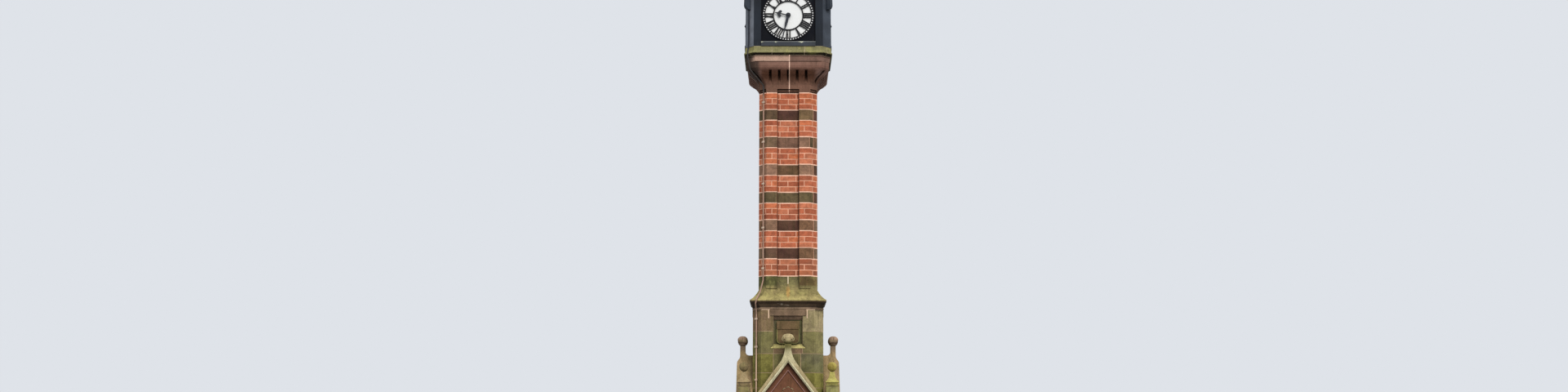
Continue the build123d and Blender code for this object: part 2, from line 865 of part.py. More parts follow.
# Opal glass discs
with BuildPart() as dial_glasses:
    for index in range(4):
        with BuildSketch(upright_plane(side_turn(index), glass_back, dial_centre)):
            Circle(glass_radius - glass_clearance)
            Circle(glass_hole_radius, mode=Mode.SUBTRACT)
        extrude(amount=glass_thickness)
save(dial_glasses, "dial_glasses")

# Skeleton dials: the strokes of each numeral tie the two rings together
NUMERALS = {1: "I", 2: "II", 3: "III", 4: "IIII", 5: "V", 6: "VI", 7: "VII", 8: "VIII", 9: "IX", 10: "X",
            11: "XI", 12: "XII"}
GLYPH_WIDTH = {"I": 1.9, "V": 3.4, "X": 3.4}
GLYPH_SPACE = 1.4


def numeral_strokes(text):
    """Offsets of each stroke's inner and outer end from the numeral's centre line, and its width."""
    total = sum(GLYPH_WIDTH[glyph] for glyph in text)
    cursor = -total / 2
    strokes = []
    for glyph in text:
        middle = (cursor + GLYPH_WIDTH[glyph] / 2) * numeral_stroke
        lean = (GLYPH_WIDTH[glyph] - GLYPH_SPACE) / 2 * numeral_stroke
        if glyph == "I":
            strokes.append((middle, middle, numeral_stroke))
        if glyph == "V":
            strokes.append((middle, middle - lean, numeral_stroke))
            strokes.append((middle, middle + lean, numeral_thin_stroke))
        if glyph == "X":
            strokes.append((middle + lean, middle - lean, numeral_stroke))
            strokes.append((middle - lean, middle + lean, numeral_thin_stroke))
        cursor += GLYPH_WIDTH[glyph]
    return strokes


def draw_stroke(ray, side, inner, outer, width):
    """One stroke of a numeral, from the middle of one ring to the middle of the other."""
    foot = ray * ((hour_ring_outer + hour_ring_inner) / 2) - side * inner
    head = ray * ((dial_radius + minute_ring_inner) / 2) - side * outer
    half = side * (width / 2)
    Polygon(foot - half, foot + half, head + half, head - half, align=None)


def dial_sketch():
    """Outer ring pierced at every minute, inner ring and the twelve numerals between them."""
    with BuildSketch() as face:
        Circle(dial_radius)
        Circle(minute_ring_inner, mode=Mode.SUBTRACT)
        Circle(hour_ring_outer)
        Circle(hour_ring_inner, mode=Mode.SUBTRACT)
        for hour, text in NUMERALS.items():
            tilt = radians(90 - 360 / 12 * hour)
            ray = Vector(cos(tilt), sin(tilt))
            side = Vector(sin(tilt), -cos(tilt))
            for inner, outer, width in numeral_strokes(text):
                draw_stroke(ray, side, inner, outer, width)
        with PolarLocations(minute_opening_radius, minute_openings):
            Rectangle(minute_opening_length, minute_opening_width, mode=Mode.SUBTRACT)
    return face.sketch


dial_face = dial_sketch()
with BuildPart() as dial_frames:
    for index in range(4):
        with BuildSketch(upright_plane(side_turn(index), panel_plane, dial_centre)):
            add(dial_face)
        extrude(amount=dial_thickness)
save(dial_frames, "dial_frames")

# Hands
hour_plane = panel_plane + dial_thickness + hand_clearance
minute_plane = hour_plane + hand_thickness + hand_gap
sleeve_bore_radius = arbor_radius + arbor_clearance


def hand_plane(turn, setback, angle):
    """Upright plane at a dial whose local Y points along a hand at the given clockwise angle."""
    base = upright_plane(turn, setback, dial_centre)
    across = base.x_dir * cos(radians(angle)) - base.y_dir * sin(radians(angle))
    return Plane(origin=base.origin, x_dir=across, z_dir=base.z_dir)


def draw_minute_hand():
    """Right half of a minute hand: a slim leaf that runs out into a bar."""
    stem_end = minute_length - minute_point
    Line((0, 0), (minute_root_half, 0))
    ThreePointArc((minute_root_half, 0), (minute_leaf_half, minute_leaf_middle),
                  (minute_stem_half, minute_leaf_end))
    Polyline((minute_stem_half, minute_leaf_end), (minute_stem_half, stem_end), (0, minute_length))


def draw_hour_hand():
    """Right half of an hour hand: a neck, a spade with a horn on either side and a point."""
    horn = (hour_horn_half, hour_spade_horn)
    brow = (hour_horn_half, (hour_spade_middle + hour_spade_head) / 2)
    Polyline((0, 0), (hour_neck_half, 0), (hour_neck_half, hour_spade_foot), horn)
    ThreePointArc(horn, (hour_spade_half, hour_spade_middle), brow)
    ThreePointArc(brow, (hour_spade_hollow, hour_spade_head - hour_spade_hollow),
                  (hour_neck_half, hour_spade_head))
    Polyline((hour_neck_half, hour_spade_head), (hour_neck_half / 2, hour_length - hour_point),
             (0, hour_length))


for index, name in enumerate(SIDES):
    with BuildPart() as minute_hand:
        with BuildSketch(hand_plane(side_turn(index), minute_plane, minute_hand_angle)):
            with BuildLine():
                draw_minute_hand()
                mirror(about=Plane.YZ)
            make_face()
            Circle(hub_radius)
        extrude(amount=hand_thickness)
        with BuildSketch(hand_plane(side_turn(index), minute_plane, minute_hand_angle)):
            Circle(arbor_radius)
        extrude(amount=-(minute_plane - glass_back + arbor_depth / 2))
    save(minute_hand, f"minute_hand_{name}")

for index, name in enumerate(SIDES):
    with BuildPart() as hour_hand:
        with BuildSketch(hand_plane(side_turn(index), hour_plane, hour_hand_angle)):
            with BuildLine():
                draw_hour_hand()
                mirror(about=Plane.YZ)
            make_face()
            Circle(hub_radius)
            Circle(sleeve_bore_radius, mode=Mode.SUBTRACT)
        extrude(amount=hand_thickness)
        with BuildSketch(hand_plane(side_turn(index), hour_plane, hour_hand_angle)):
            Circle(sleeve_radius)
            Circle(sleeve_bore_radius, mode=Mode.SUBTRACT)
        extrude(amount=-(hour_plane - glass_back + arbor_depth / 2))
    save(hour_hand, f"hour_hand_{name}")

# Brackets on the chamfered corners of the case, one of them over the conduit's end
pipe_gap = conduit_radius + conduit_standoff
case_corner = corner_reach(constant_leg(case_leg))(case_half)
soffit_corner = corner_reach(constant_leg(eaves_leg))(soffit_half)
bracket_low = string_top + bracket_foot


def draw_bracket():
    """Side outline of a bracket that swells forward and then carries the soffit."""
    face = case_corner + bracket_projection
    head = soffit_corner - bracket_setback
    toe = (case_corner + 2 * pipe_gap, bracket_low)
    belly = (face, bracket_low + bracket_belly_rise)
    waist = (face - bracket_waist_depth, bracket_low + bracket_waist_rise)
    shoulder = (head, case_top - bracket_head_height)
    Line((case_corner, bracket_low), toe)
    TangentArc(toe, belly, tangent=(1, 0))
    Line(belly, waist)
    TangentArc(waist, shoulder, tangent=(-bracket_waist_depth, bracket_waist_rise))
    Polyline(shoulder, (head, case_top), (case_corner, case_top), (case_corner, bracket_low))


with BuildPart() as case_brackets:
    for index in range(4):
        with BuildSketch(section_plane(side_turn(index) + 45)):
            with BuildLine():
                draw_bracket()
            make_face()
        extrude(amount=bracket_thickness / 2, both=True)
save(case_brackets, "case_brackets")


# Eaves cornice: flat soffit, a deep hollow and a plain crown
def draw_eaves(reach):
    hollow_top = eaves_top - eaves_crown_height
    crown_half = eaves_half - eaves_crown_step
    fillet_top = (reach(soffit_half), case_top + soffit_fillet)
    Polyline((0, case_top), (reach(soffit_half), case_top), fillet_top)
    TangentArc(fillet_top, (reach(crown_half), hollow_top), tangent=(0, 1))
    Polyline((reach(crown_half), hollow_top), (reach(eaves_half), hollow_top),
             (reach(eaves_half), eaves_top - eaves_arris), (reach(eaves_half - eaves_arris), eaves_top),
             (0, eaves_top))


eaves_mass = faceted_mass(draw_eaves, constant_leg(eaves_leg))
with BuildPart() as eaves_cornice:
    add(eaves_mass)
save(eaves_cornice, "eaves_cornice")


# Roof: steep chamfered pyramid with a bell-cast foot
def draw_roof(reach):
    kick = eaves_top + roof_kick_height
    edge = eaves_top + roof_edge
    Line((0, eaves_top), (reach(roof_half), eaves_top))
    Line((reach(roof_half), eaves_top), (reach(roof_half), edge))
    ThreePointArc((reach(roof_half), edge),
                  (reach(roof_kick_half + roof_kick_spread), edge + roof_kick_hollow),
                  (reach(roof_kick_half), kick))
    Line((reach(roof_kick_half), kick), (reach(roof_top_half), roof_top))
    Line((reach(roof_top_half), roof_top), (0, roof_top))


def roof_leg(half):
    return eaves_leg * half / roof_half


roof_mass = faceted_mass(draw_roof, roof_leg)
with BuildPart() as roof:
    add(roof_mass)
save(roof, "roof")

# Roof finial: turned base, ball and spike
with BuildPart() as roof_finial:
    with BuildSketch(Plane.XZ):
        with BuildLine():
            ball_middle = roof_top + spike_ball_height
            ball_rise = sqrt(spike_ball_radius**2 - spike_neck_radius**2)
            root = ball_middle + ball_rise + spike_root_rise
            tip = roof_top + spike_height
            ball_foot = (spike_neck_radius, ball_middle - ball_rise)
            ball_head = (spike_neck_radius, ball_middle + ball_rise)
            Polyline((0, roof_top), (spike_base_radius, roof_top),
                     (spike_base_radius, roof_top + spike_base_height),
                     (spike_neck_radius, roof_top + spike_neck_foot), ball_foot)
            ThreePointArc(ball_foot, (spike_ball_radius, ball_middle), ball_head)
            Polyline(ball_head, (spike_root_radius, root), (spike_tip_radius, tip), (0, tip), (0, roof_top))
        make_face()
    revolve(axis=Axis.Z)
save(roof_finial, "roof_finial")


# Conduit down the front left corner
def corner_point(distance, height, shift=0):
    """Point at a distance from the axis on the front left diagonal, shifted towards the front."""
    side = distance / sqrt(2)
    step = shift / sqrt(2)
    return (step - side, -side - step, height)


shaft_corner = corner_reach(constant_leg(shaft_leg))(shaft_half)
base_corner = corner_reach(constant_leg(base_leg))(base_half)
corbel_corner = flare_corner(corbel_half)
string_corner = corner_reach(constant_leg(string_leg))(string_half)
roll_corner = corner_reach(splay_leg)(base_half + moulding_roll)
lip_across = splay_lip_half - conduit_lip_inset
lip_front = splay_lip_half + pipe_gap
hollow_level = splay_foot - splay_lip_height - splay_spread / 2
splay_reach = shaft_corner + pipe_gap + conduit_splay_reach
conduit_points = [
    corner_point(case_corner + pipe_gap, bracket_low),
    corner_point(case_corner + pipe_gap, string_top + conduit_bend),
    corner_point(string_corner + pipe_gap, string_top - string_height + conduit_radius + conduit_standoff),
    corner_point(string_corner + pipe_gap, string_foot + fascia_height),
    corner_point(corbel_corner + pipe_gap, shaft_top + corbel_height - slot_top_drop),
    corner_point(shaft_corner + pipe_gap + conduit_standoff, flare_foot, conduit_shift),
    corner_point(shaft_corner + pipe_gap, shaft_top - 2 * conduit_bend, conduit_shift),
    corner_point(shaft_corner + pipe_gap, shaft_foot - 2 * conduit_bend, conduit_shift),
    corner_point(splay_reach, splay_foot + splay_hollow_rise, conduit_shift),
    (-lip_across, -lip_front, splay_foot + splay_lip_height),
    (-lip_across - 2 * conduit_standoff, conduit_standoff - lip_front, hollow_level),
    corner_point(roll_corner + pipe_gap + conduit_standoff, base_top + moulding_roll, conduit_roll_shift),
    corner_point(base_corner + pipe_gap, base_top - 2 * conduit_bend),
    corner_point(base_corner + pipe_gap, stage_top),
]
with BuildPart() as conduit:
    with BuildLine() as conduit_route:
        FilletPolyline(*conduit_points, radius=conduit_bend)
    with BuildSketch(Plane(origin=conduit_points[0], z_dir=(0, 0, -1))):
        Circle(conduit_radius)
    sweep(path=conduit_route.line)
save(conduit, "conduit")

# Saddles that clip the conduit to the corner facet
shaft_height = shaft_top - shaft_foot
saddle_places = [(shaft_corner, shaft_foot + share * shaft_height, conduit_shift)
                 for share in shaft_saddle_shares]
saddle_places += [(base_corner, stage_top + share * base_height, 0) for share in base_saddle_shares]
with BuildPart() as conduit_saddles:
    for facet, height, shift in saddle_places:
        axis_point = corner_point(facet + pipe_gap, height - saddle_height / 2, shift)
        with BuildSketch(Plane(origin=axis_point, x_dir=(1, -1, 0), z_dir=(0, 0, 1))):
            Circle(conduit_radius + saddle_wall)
            with Locations((0, -(conduit_radius + conduit_standoff) / 2)):
                Rectangle(2 * saddle_half, saddle_strap)
            Circle(conduit_radius + glass_clearance, mode=Mode.SUBTRACT)
        extrude(amount=saddle_height)
save(conduit_saddles, "conduit_saddles")
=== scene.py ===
"""Dresses the clock tower: coursed stone, brickwork, iron clock case, dials, lead roof and the stage."""
import math
import random

import bpy
from bpy.props import FloatProperty, FloatVectorProperty, IntProperty, PointerProperty
from mathutils import Matrix, Vector


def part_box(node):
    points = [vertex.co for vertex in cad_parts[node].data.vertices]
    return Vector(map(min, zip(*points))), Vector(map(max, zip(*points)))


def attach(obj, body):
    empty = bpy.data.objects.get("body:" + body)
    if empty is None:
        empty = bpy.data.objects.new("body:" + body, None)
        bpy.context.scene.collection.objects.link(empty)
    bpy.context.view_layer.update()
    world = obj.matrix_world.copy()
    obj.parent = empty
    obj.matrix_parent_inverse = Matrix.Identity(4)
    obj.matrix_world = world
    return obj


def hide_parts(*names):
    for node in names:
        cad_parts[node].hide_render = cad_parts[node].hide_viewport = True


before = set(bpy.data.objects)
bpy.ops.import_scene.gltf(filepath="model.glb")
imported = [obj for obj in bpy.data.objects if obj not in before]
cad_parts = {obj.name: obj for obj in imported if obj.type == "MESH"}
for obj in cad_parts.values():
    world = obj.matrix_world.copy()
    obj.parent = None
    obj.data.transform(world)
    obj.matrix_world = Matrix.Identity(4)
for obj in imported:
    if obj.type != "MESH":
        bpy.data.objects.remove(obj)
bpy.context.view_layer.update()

bl_info = {
    "name": "Clock Tower",
    "version": (1, 0, 0),
    "blender": (4, 5, 0),
    "location": "View3D > Sidebar > Clock Tower",
    "description": "Lays the stones and bricks of a clock tower and finishes its clock case, dials and roof",
    "category": "Object",
}

SIDES = ("front", "right", "back", "left")
CORNERS = ("front_right", "back_right", "back_left", "front_left")
SQUARE = ((-1, -1), (1, -1), (1, 1), (-1, 1))
RECESSED_EDGES = ("left", "left_return", "recess", "right_return", "right", "corner")
MORTAR = (0.5, 0.5, 0.5)
HAND_METAL = (0.1, 0.1, 0.1)
PANE_WHITE = (0.9, 0.9, 0.9)
LEAD_GREY = (0.3, 0.3, 0.3)
GABLET_SLOPE = 1.29
BLOCK_CUT = 0.127
RECESS_HALF = 0.162
STRETCHER = 0.238


def paint(red, green, blue):
    """Turns the display values of a colour, 0 to 255, into the linear values that shaders use."""
    shares = [value / 255 for value in (red, green, blue)]
    return tuple(share / 12.92 if share <= 0.04045 else ((share + 0.055) / 1.055) ** 2.4 for share in shares)


def scaled(colour, factor):
    return tuple(min(1.0, channel * factor) for channel in colour)


def mixed(first, second, share):
    return tuple(a + (b - a) * share for a, b in zip(first, second))


# Sizes and colours that a user would change
def length(name, default, low, high, description):
    return FloatProperty(name=name, description=description, default=default, min=low, max=high,
                         subtype="DISTANCE", unit="LENGTH")


def colour(name, default, description):
    return FloatVectorProperty(name=name, description=description, default=default, size=3, min=0.0, max=1.0,
                               subtype="COLOR")


class TowerSizes(bpy.types.PropertyGroup):
    brick_joint: length("Brick joint", 0.0115, 0.004, 0.02, "Width of the mortar joints between bricks")
    stone_joint: length("Stone joint", 0.007, 0.002, 0.02,
                        "Width of the mortar joints between dressed stones")
    joint_depth: length("Joint depth", 0.0014, 0.001, 0.02, "How far the mortar lies behind the face")
    brick_arris: length("Brick arris", 0.0014, 0.0005, 0.01, "Width of the worn edge of a brick")
    stone_arris: length("Stone arris", 0.005, 0.001, 0.02, "Width of the worn edge of a stone")
    roll_radius: length("Lead roll radius", 0.016, 0.005, 0.04,
                        "Radius of the rolls between the roof's lead sheets")
    seed: IntProperty(name="Seed", description="Changes how the tones of stones and bricks are dealt out",
                      default=7, min=0)


class TowerColours(bpy.types.PropertyGroup):
    brick: colour("Brick", paint(174, 95, 66), "Usual colour of a brick")
    mortar: colour("Mortar", paint(222, 166, 138), "Lime mortar of the brickwork")
    bed_lime: colour("Bed lime", paint(232, 186, 162), "Fresher lime along the beds of the stone bands")
    pointing: colour("Pointing", paint(168, 142, 116), "Mortar between dressed stones")
    olive: colour("Olive stone", paint(110, 102, 68), "Sandstone under a film of algae")
    green: colour("Green stone", paint(112, 106, 54), "Sandstone that is green all over")
    grey: colour("Grey stone", paint(98, 93, 68), "Sandstone darkened by soot")
    brown: colour("Brown stone", paint(122, 98, 76), "Sandstone weathered brown")
    maroon: colour("Maroon stone", paint(84, 54, 45), "Dark red sandstone")
    rose: colour("Rose stone", paint(138, 104, 84), "Pinkish sandstone")
    khaki: colour("Khaki stone", paint(118, 86, 63), "Yellow brown sandstone")
    pale: colour("Pale stone", paint(188, 178, 142), "Washed sandstone of the gablets")
    algae: colour("Algae", paint(100, 100, 44), "Green growth on damp stone")
    lichen: colour("Lichen", paint(176, 172, 100), "Yellow green crust on ledges")
    iron_paint: colour("Iron paint", paint(44, 49, 57), "Blue black paint of the clock case")
    opal: colour("Opal glass", paint(227, 227, 226), "White glass of the dials")
    lead: colour("Lead", paint(118, 122, 126), "Weathered lead of the roof")


def sizes():
    return bpy.context.scene.tower_sizes


def colours():
    return bpy.context.scene.tower_colours


# Node trees of the finishes and of the sky
class Graph:
    """Node tree, with short methods that wire up its nodes."""

    def __init__(self, tree):
        self.tree = tree
        tree.nodes.clear()

    def add(self, kind, inputs=None, **settings):
        """Adds a node, and feeds those of its inputs that are given by name or number."""
        node = self.tree.nodes.new("ShaderNode" + kind)
        for key, value in settings.items():
            setattr(node, key, value)
        for key, value in (inputs or {}).items():
            self.feed(node.inputs[key], value)
        return node

    def feed(self, target, value):
        """Links a socket to another, or sets its own value."""
        if isinstance(value, bpy.types.NodeSocket):
            self.tree.links.new(value, target)
        elif target.type == "RGBA":
            target.default_value = (*value[:3], 1.0)
        else:
            target.default_value = value

    def maths(self, operation, first, second=0.0):
        return self.add("Math", {0: first, 1: second}, operation=operation).outputs[0]


class Finish(Graph):
    """One finish of a surface."""

    def __init__(self, name):
        self.material = bpy.data.materials.new(name)
        self.material.use_nodes = True
        super().__init__(self.material.node_tree)
        self.shader = self.add("BsdfPrincipled")
        self.add("OutputMaterial", {"Surface": self.shader.outputs["BSDF"]})
        self.place = self.add("TexCoord").outputs["Object"]
        self.normal = self.add("NewGeometry").outputs["Normal"]

    def noise(self, scale, detail=4.0, rough=0.55, bend=0.0):
        """Cloudy pattern. Its scale may differ from axis to axis."""
        place = self.place
        if isinstance(scale, tuple):
            place = self.add("Mapping", {"Vector": place, "Scale": scale}).outputs["Vector"]
            scale = 1.0
        return self.add("TexNoise", {"Vector": place, "Scale": scale, "Detail": detail, "Roughness": rough,
                                     "Distortion": bend}).outputs[0]

    def cells(self, scale):
        return self.add("TexVoronoi", {"Vector": self.place, "Scale": scale}).outputs["Distance"]

    def spread(self, value, low, high, first=0.0, last=1.0):
        """Smooth step from first to last as value goes from low to high."""
        return self.add("MapRange", {"Value": value, "From Min": low, "From Max": high, "To Min": first,
                                     "To Max": last}, interpolation_type="SMOOTHSTEP").outputs["Result"]

    def times(self, first, *others):
        for other in others:
            first = self.maths("MULTIPLY", first, other)
        return first

    def weighed(self, first, *pairs):
        """First value plus others, each times its weight."""
        for value, weight in pairs:
            first = self.maths("ADD", first, self.times(value, weight))
        return first

    def size(self, value):
        """The value without its sign."""
        return self.maths("ABSOLUTE", value)

    def blend(self, factor, first, second, mode="MIX"):
        return self.add("Mix", {0: factor, 6: first, 7: second}, data_type="RGBA", blend_type=mode).outputs[2]

    def cover(self, tone, hue, value, low, high, first=0.0, last=1.0, mode="MIX"):
        """Lays a hue over a tone, from a first share of it at a low value to a last one at a high value."""
        return self.blend(self.spread(value, low, high, first, last), tone, hue, mode)

    def along(self, axis, vector=None):
        """One coordinate of the surface's place, or of another vector."""
        parts = self.add("SeparateXYZ", {0: vector or self.place})
        return parts.outputs["XYZ".index(axis)]

    def height(self, low, high):
        """0 below one level and 1 above another."""
        return self.spread(self.along("Z"), low, high)

    def rising(self, tone, hue, low, high):
        """One tone below a level and another hue above it."""
        return self.blend(self.height(low, high), tone, hue)

    def offsets(self):
        """Distances from the two upright planes through the axis."""
        return self.size(self.along("X")), self.size(self.along("Y"))

    def aside(self):
        """Distance sideways from the middle of whichever side this is."""
        return self.maths("MINIMUM", *self.offsets())

    def recess_shade(self, tone):
        """Paints shade: darkens the inner corners of the shaft's recesses."""
        inside = self.spread(self.maths("MAXIMUM", *self.offsets()), 0.424, 0.412)
        aside = self.aside()
        beside = self.spread(aside, RECESS_HALF - 0.020, RECESS_HALF - 0.006)
        corner = self.times(beside, self.spread(aside, 0.20, 0.19))
        return self.blend(self.times(inside, corner), tone, (0.34, 0.28, 0.26), "MULTIPLY")

    def near(self, spot, reach):
        """1 at a spot, fading to 0 at its reach."""
        node = self.add("VectorMath", {0: self.place, 1: spot}, operation="DISTANCE")
        return self.spread(node.outputs["Value"], reach * 0.4, reach, 1.0, 0.0)

    def lit(self, tone, *amounts):
        """Lightens or darkens a tone by amounts that change over the surface."""
        return self.add("HueSaturation", {"Color": tone, "Value": self.times(*amounts)}).outputs["Color"]

    def varied(self, value, low, high):
        """Any amount from low to high, as a noise dictates."""
        return self.spread(value, 0.3, 0.7, low, high)

    def crevice(self, reach, low, high, amount):
        """The amount where other faces are within reach, and 0 in the open."""
        node = self.add("AmbientOcclusion", {"Distance": reach}, samples=6)
        return self.spread(node.outputs["AO"], low, high, amount, 0.0)

    def paint_nook_shade(self, tone, hue, reach, low, high, amount, mode="MULTIPLY"):
        """Paints shade: lays a hue over a tone where other faces are within reach."""
        return self.blend(self.crevice(reach, low, high, amount), tone, hue, mode)

    def stone_colour(self):
        """The tone that every stone was given."""
        return self.add("Attribute", attribute_name="stone_colour").outputs["Color"]

    def softened(self, radius):
        """Normal that rounds off the edges within a radius."""
        return self.add("Bevel", {"Radius": radius}, samples=4).outputs["Normal"]

    def relief(self, height, depth, normal=None, strength=1.0):
        node = self.add("Bump", {"Strength": strength, "Distance": depth, "Height": height})
        if normal is not None:
            self.feed(node.inputs["Normal"], normal)
        return node.outputs["Normal"]

    def done(self, colour, roughness, gloss=0.5, **others):
        """Feeds the shader, whose other inputs are given by name, and hands the material over."""
        values = {"Base Color": colour, "Roughness": roughness, "Specular IOR Level": gloss}
        values.update({key.replace("_", " ").title(): value for key, value in others.items()})
        for key, value in values.items():
            self.feed(self.shader.inputs[key], value)
        return self.material


def stone_finish(name, body=None, growth=0.0, lichen=0.0, shade_in_nooks=0.4, streak=0.35, mottle=0.3, grit=0.22,
                 soften=0.006):
    """Weathered sandstone. Without a body colour it takes the one given to every stone."""
    hues = colours()
    finish = Finish(name)
    body = body or Finish.stone_colour
    base = body(finish) if callable(body) else body
    patches = finish.noise(2.4, 3.0)
    blotches = finish.noise(8.0, 5.0, 0.6, 0.3)
    grain = finish.noise(60.0, 5.0, 0.7)
    sand = finish.noise(420.0, 2.0, 0.6)
    streaks = finish.noise((30.0, 30.0, 1.8), 4.0, 0.6)
    amounts = [finish.varied(noise, 1 - amount, 1 + amount)
               for noise, amount in ((blotches, mottle), (grain, grit), (sand, grit * 0.7))]
    tone = finish.lit(base, *amounts, finish.spread(streaks, 0.5, 0.72, 1.0, 1 - streak))
    if growth:
        upward = finish.along("Z", finish.normal)
        damp = finish.weighed(finish.times(patches, 0.62), (streaks, 0.38), (upward, 0.12))
        algae = finish.lit(hues.algae, finish.varied(grain, 0.85, 1.2))
        tone = finish.cover(tone, algae, damp, 0.42, 0.64, 0.0, growth)
    if lichen:
        crust = finish.spread(finish.cells(17.0), 0.16, 0.42, 1.0, 0.0)
        settled = finish.spread(finish.weighed(patches, (blotches, 0.7)), 0.74, 0.98)
        either = finish.maths("MAXIMUM", crust, settled)
        spots = finish.times(either, finish.spread(blotches, 0.36, 0.62), lichen)
        tone = finish.blend(spots, tone, hues.lichen)
    # Painted shade: darker in the nooks, where other faces are close.
    tone = finish.paint_nook_shade(tone, (0.18, 0.16, 0.13), 0.11, 0.25, 0.95, shade_in_nooks)
    pits = finish.spread(finish.cells(70.0), 0.05, 0.3)
    relief = finish.weighed(finish.times(grain, 0.8), (pits, 0.2), (blotches, 1.4))
    edge = finish.softened(soften) if soften else finish.normal
    bumped = finish.relief(relief, 0.005, edge, 0.9)
    return finish.done(tone, finish.varied(grain, 0.8, 0.97), 0.2, normal=bumped)


def brick_finish(name):
    """Fired brick: sandy face, dark kiss marks and a bloom of lime."""
    finish = Finish(name)
    blotches = finish.noise(16.0, 5.0, 0.62, 0.4)
    grain = finish.noise(130.0, 4.0, 0.7)
    weather = finish.noise(1.6, 3.0)
    drag = finish.noise((20.0, 20.0, 260.0), 3.0, 0.6)
    amounts = (finish.varied(blotches, 0.76, 1.24), finish.varied(grain, 0.84, 1.18),
               finish.spread(weather, 0.35, 0.65, 0.92, 1.06))
    tone = finish.lit(finish.stone_colour(), *amounts)
    tone = finish.cover(tone, (0.30, 0.22, 0.20), finish.cells(110.0), 0.0, 0.12, 0.5, 0.0, "MULTIPLY")
    tone = finish.cover(tone, paint(200, 138, 112), finish.noise(4.2, 4.0, 0.6), 0.54, 0.74, 0.0, 0.2)
    damp = finish.times(finish.height(4.3, 3.7), finish.spread(weather, 0.4, 0.6, 0.1, 0.45))
    tone = finish.blend(damp, tone, paint(112, 78, 58))
    # Painted shade: darker where other faces are close.
    tone = finish.paint_nook_shade(tone, (0.3, 0.22, 0.2), 0.05, 0.3, 0.9, 0.35)
    bumped = finish.relief(finish.weighed(finish.times(grain, 0.7), (drag, 0.5)), 0.003)
    # Painted shade in the corners of the shaft's recesses.
    return finish.done(finish.recess_shade(tone), finish.varied(grain, 0.78, 0.94), 0.2, normal=bumped)


def mortar_finish(name, body):
    """Struck lime mortar with sharp sand."""
    finish = Finish(name)
    sand = finish.noise(420.0, 3.0, 0.7)
    patches = finish.noise(7.0, 4.0, 0.6)
    tone = finish.lit(body, finish.spread(patches, 0.32, 0.68, 0.8, 1.12), finish.varied(sand, 0.85, 1.15))
    # Painted shade in the corners of the shaft's recesses.
    return finish.done(finish.recess_shade(tone), 0.95, 0.15, normal=finish.relief(sand, 0.002))


def iron_finish(name, body, wear=0.3, rough=0.42, gloss=0.3, ledge=0.4):
    """Thick paint on cast iron, chalked by weather, paler on its ledges."""
    finish = Finish(name)
    patches = finish.noise(3.5, 4.0, 0.6)
    runs = finish.noise((30.0, 30.0, 1.6), 4.0, 0.6)
    base = body(finish) if callable(body) else body
    tone = finish.lit(base, finish.spread(patches, 0.32, 0.7, 0.8, 1.3))
    tone = finish.cover(tone, paint(96, 100, 106), runs, 0.52, 0.74, 0.0, wear)
    tone = finish.cover(tone, paint(112, 112, 106), finish.along("Z", finish.normal), 0.35, 0.95, 0.0, ledge)
    rust = finish.times(finish.crevice(0.03, 0.3, 0.85, 1.0), finish.spread(patches, 0.45, 0.6), 0.35)
    tone = finish.blend(rust, tone, paint(70, 50, 40))
    dull = finish.spread(finish.weighed(patches, (runs, 0.5)), 0.5, 1.0, rough - 0.08, rough + 0.25)
    orange_peel = finish.relief(finish.noise(190.0, 2.0, 0.5), 0.0008, finish.softened(0.004))
    return finish.done(tone, dull, gloss, normal=orange_peel)


def opal_finish(name):
    """Opal glass: white in the body, polished, with a little grime, and painted shade at the rim and below
    the arbor.
    """
    finish = Finish(name)
    grime = finish.spread(finish.noise(6.0, 5.0, 0.65, 0.5), 0.52, 0.78, 0.0, 0.16)
    tone = finish.blend(grime, colours().opal, paint(206, 200, 184))
    # Painted shade at the rim and below the arbor, where the frame and the boss are close.
    tone = finish.paint_nook_shade(tone, paint(176, 168, 150), 0.03, 0.3, 0.9, 0.35, "MIX")
    waves = finish.relief(finish.noise(9.0, 2.0, 0.4), 0.0006)
    return finish.done(tone, finish.spread(grime, 0.0, 0.16, 0.16, 0.4), normal=waves, coat_weight=0.6,
                       coat_roughness=0.12)


def lead_finish(name):
    """Sheet lead with a grey patina, white bloom and darker runs."""
    lead = colours().lead
    finish = Finish(name)
    patches = finish.noise(5.0, 5.0, 0.6, 0.4)
    tone = finish.cover(lead, scaled(lead, 0.6), patches, 0.4, 0.66, 0.0, 0.8)
    runs = finish.noise((22.0, 22.0, 1.4), 5.0, 0.6)
    tone = finish.cover(tone, paint(168, 172, 172), runs, 0.5, 0.7, 0.0, 0.5)
    # Painted shade where other faces are close, beside the rolls.
    tone = finish.paint_nook_shade(tone, (0.25, 0.25, 0.25), 0.05, 0.3, 0.9, 0.5)
    dents = finish.relief(finish.noise(26.0, 3.0, 0.5), 0.006, finish.softened(0.004))
    return finish.done(tone, finish.varied(patches, 0.5, 0.75), normal=dents, metallic=0.35)


def conduit_finish(name, body):
    """Painted steel pipe: pinkish up the shaft, dark with painted shade beside the corbel, chipped to grey.
    """
    finish = Finish(name)
    patches = finish.noise(14.0, 5.0, 0.6)
    level = finish.along("Z")
    corbel_foot, case_foot, pier_head = 6.30, 6.92, 2.75
    # Painted shade: the pipe goes dark where it runs in the corbel's shaded corner.
    tone = finish.cover(body, paint(60, 56, 54), level, corbel_foot, corbel_foot + 0.12)
    tone = finish.cover(tone, paint(112, 92, 82), patches, 0.5, 0.7, 0.0, 0.4)
    cloudy = finish.spread(finish.noise(2.0, 3.0), 0.5, 0.7, 0.0, 0.25)
    clean = finish.times(cloudy, finish.height(corbel_foot + 0.12, corbel_foot))
    tone = finish.blend(clean, tone, paint(200, 184, 166))
    tone = finish.cover(tone, paint(38, 42, 50), level, case_foot, case_foot + 0.14)
    tone = finish.cover(tone, paint(206, 176, 150), level, pier_head, pier_head - 0.4, 0.0, 0.8)
    return finish.done(tone, finish.varied(patches, 0.6, 0.85), 0.2, normal=finish.relief(patches, 0.001))


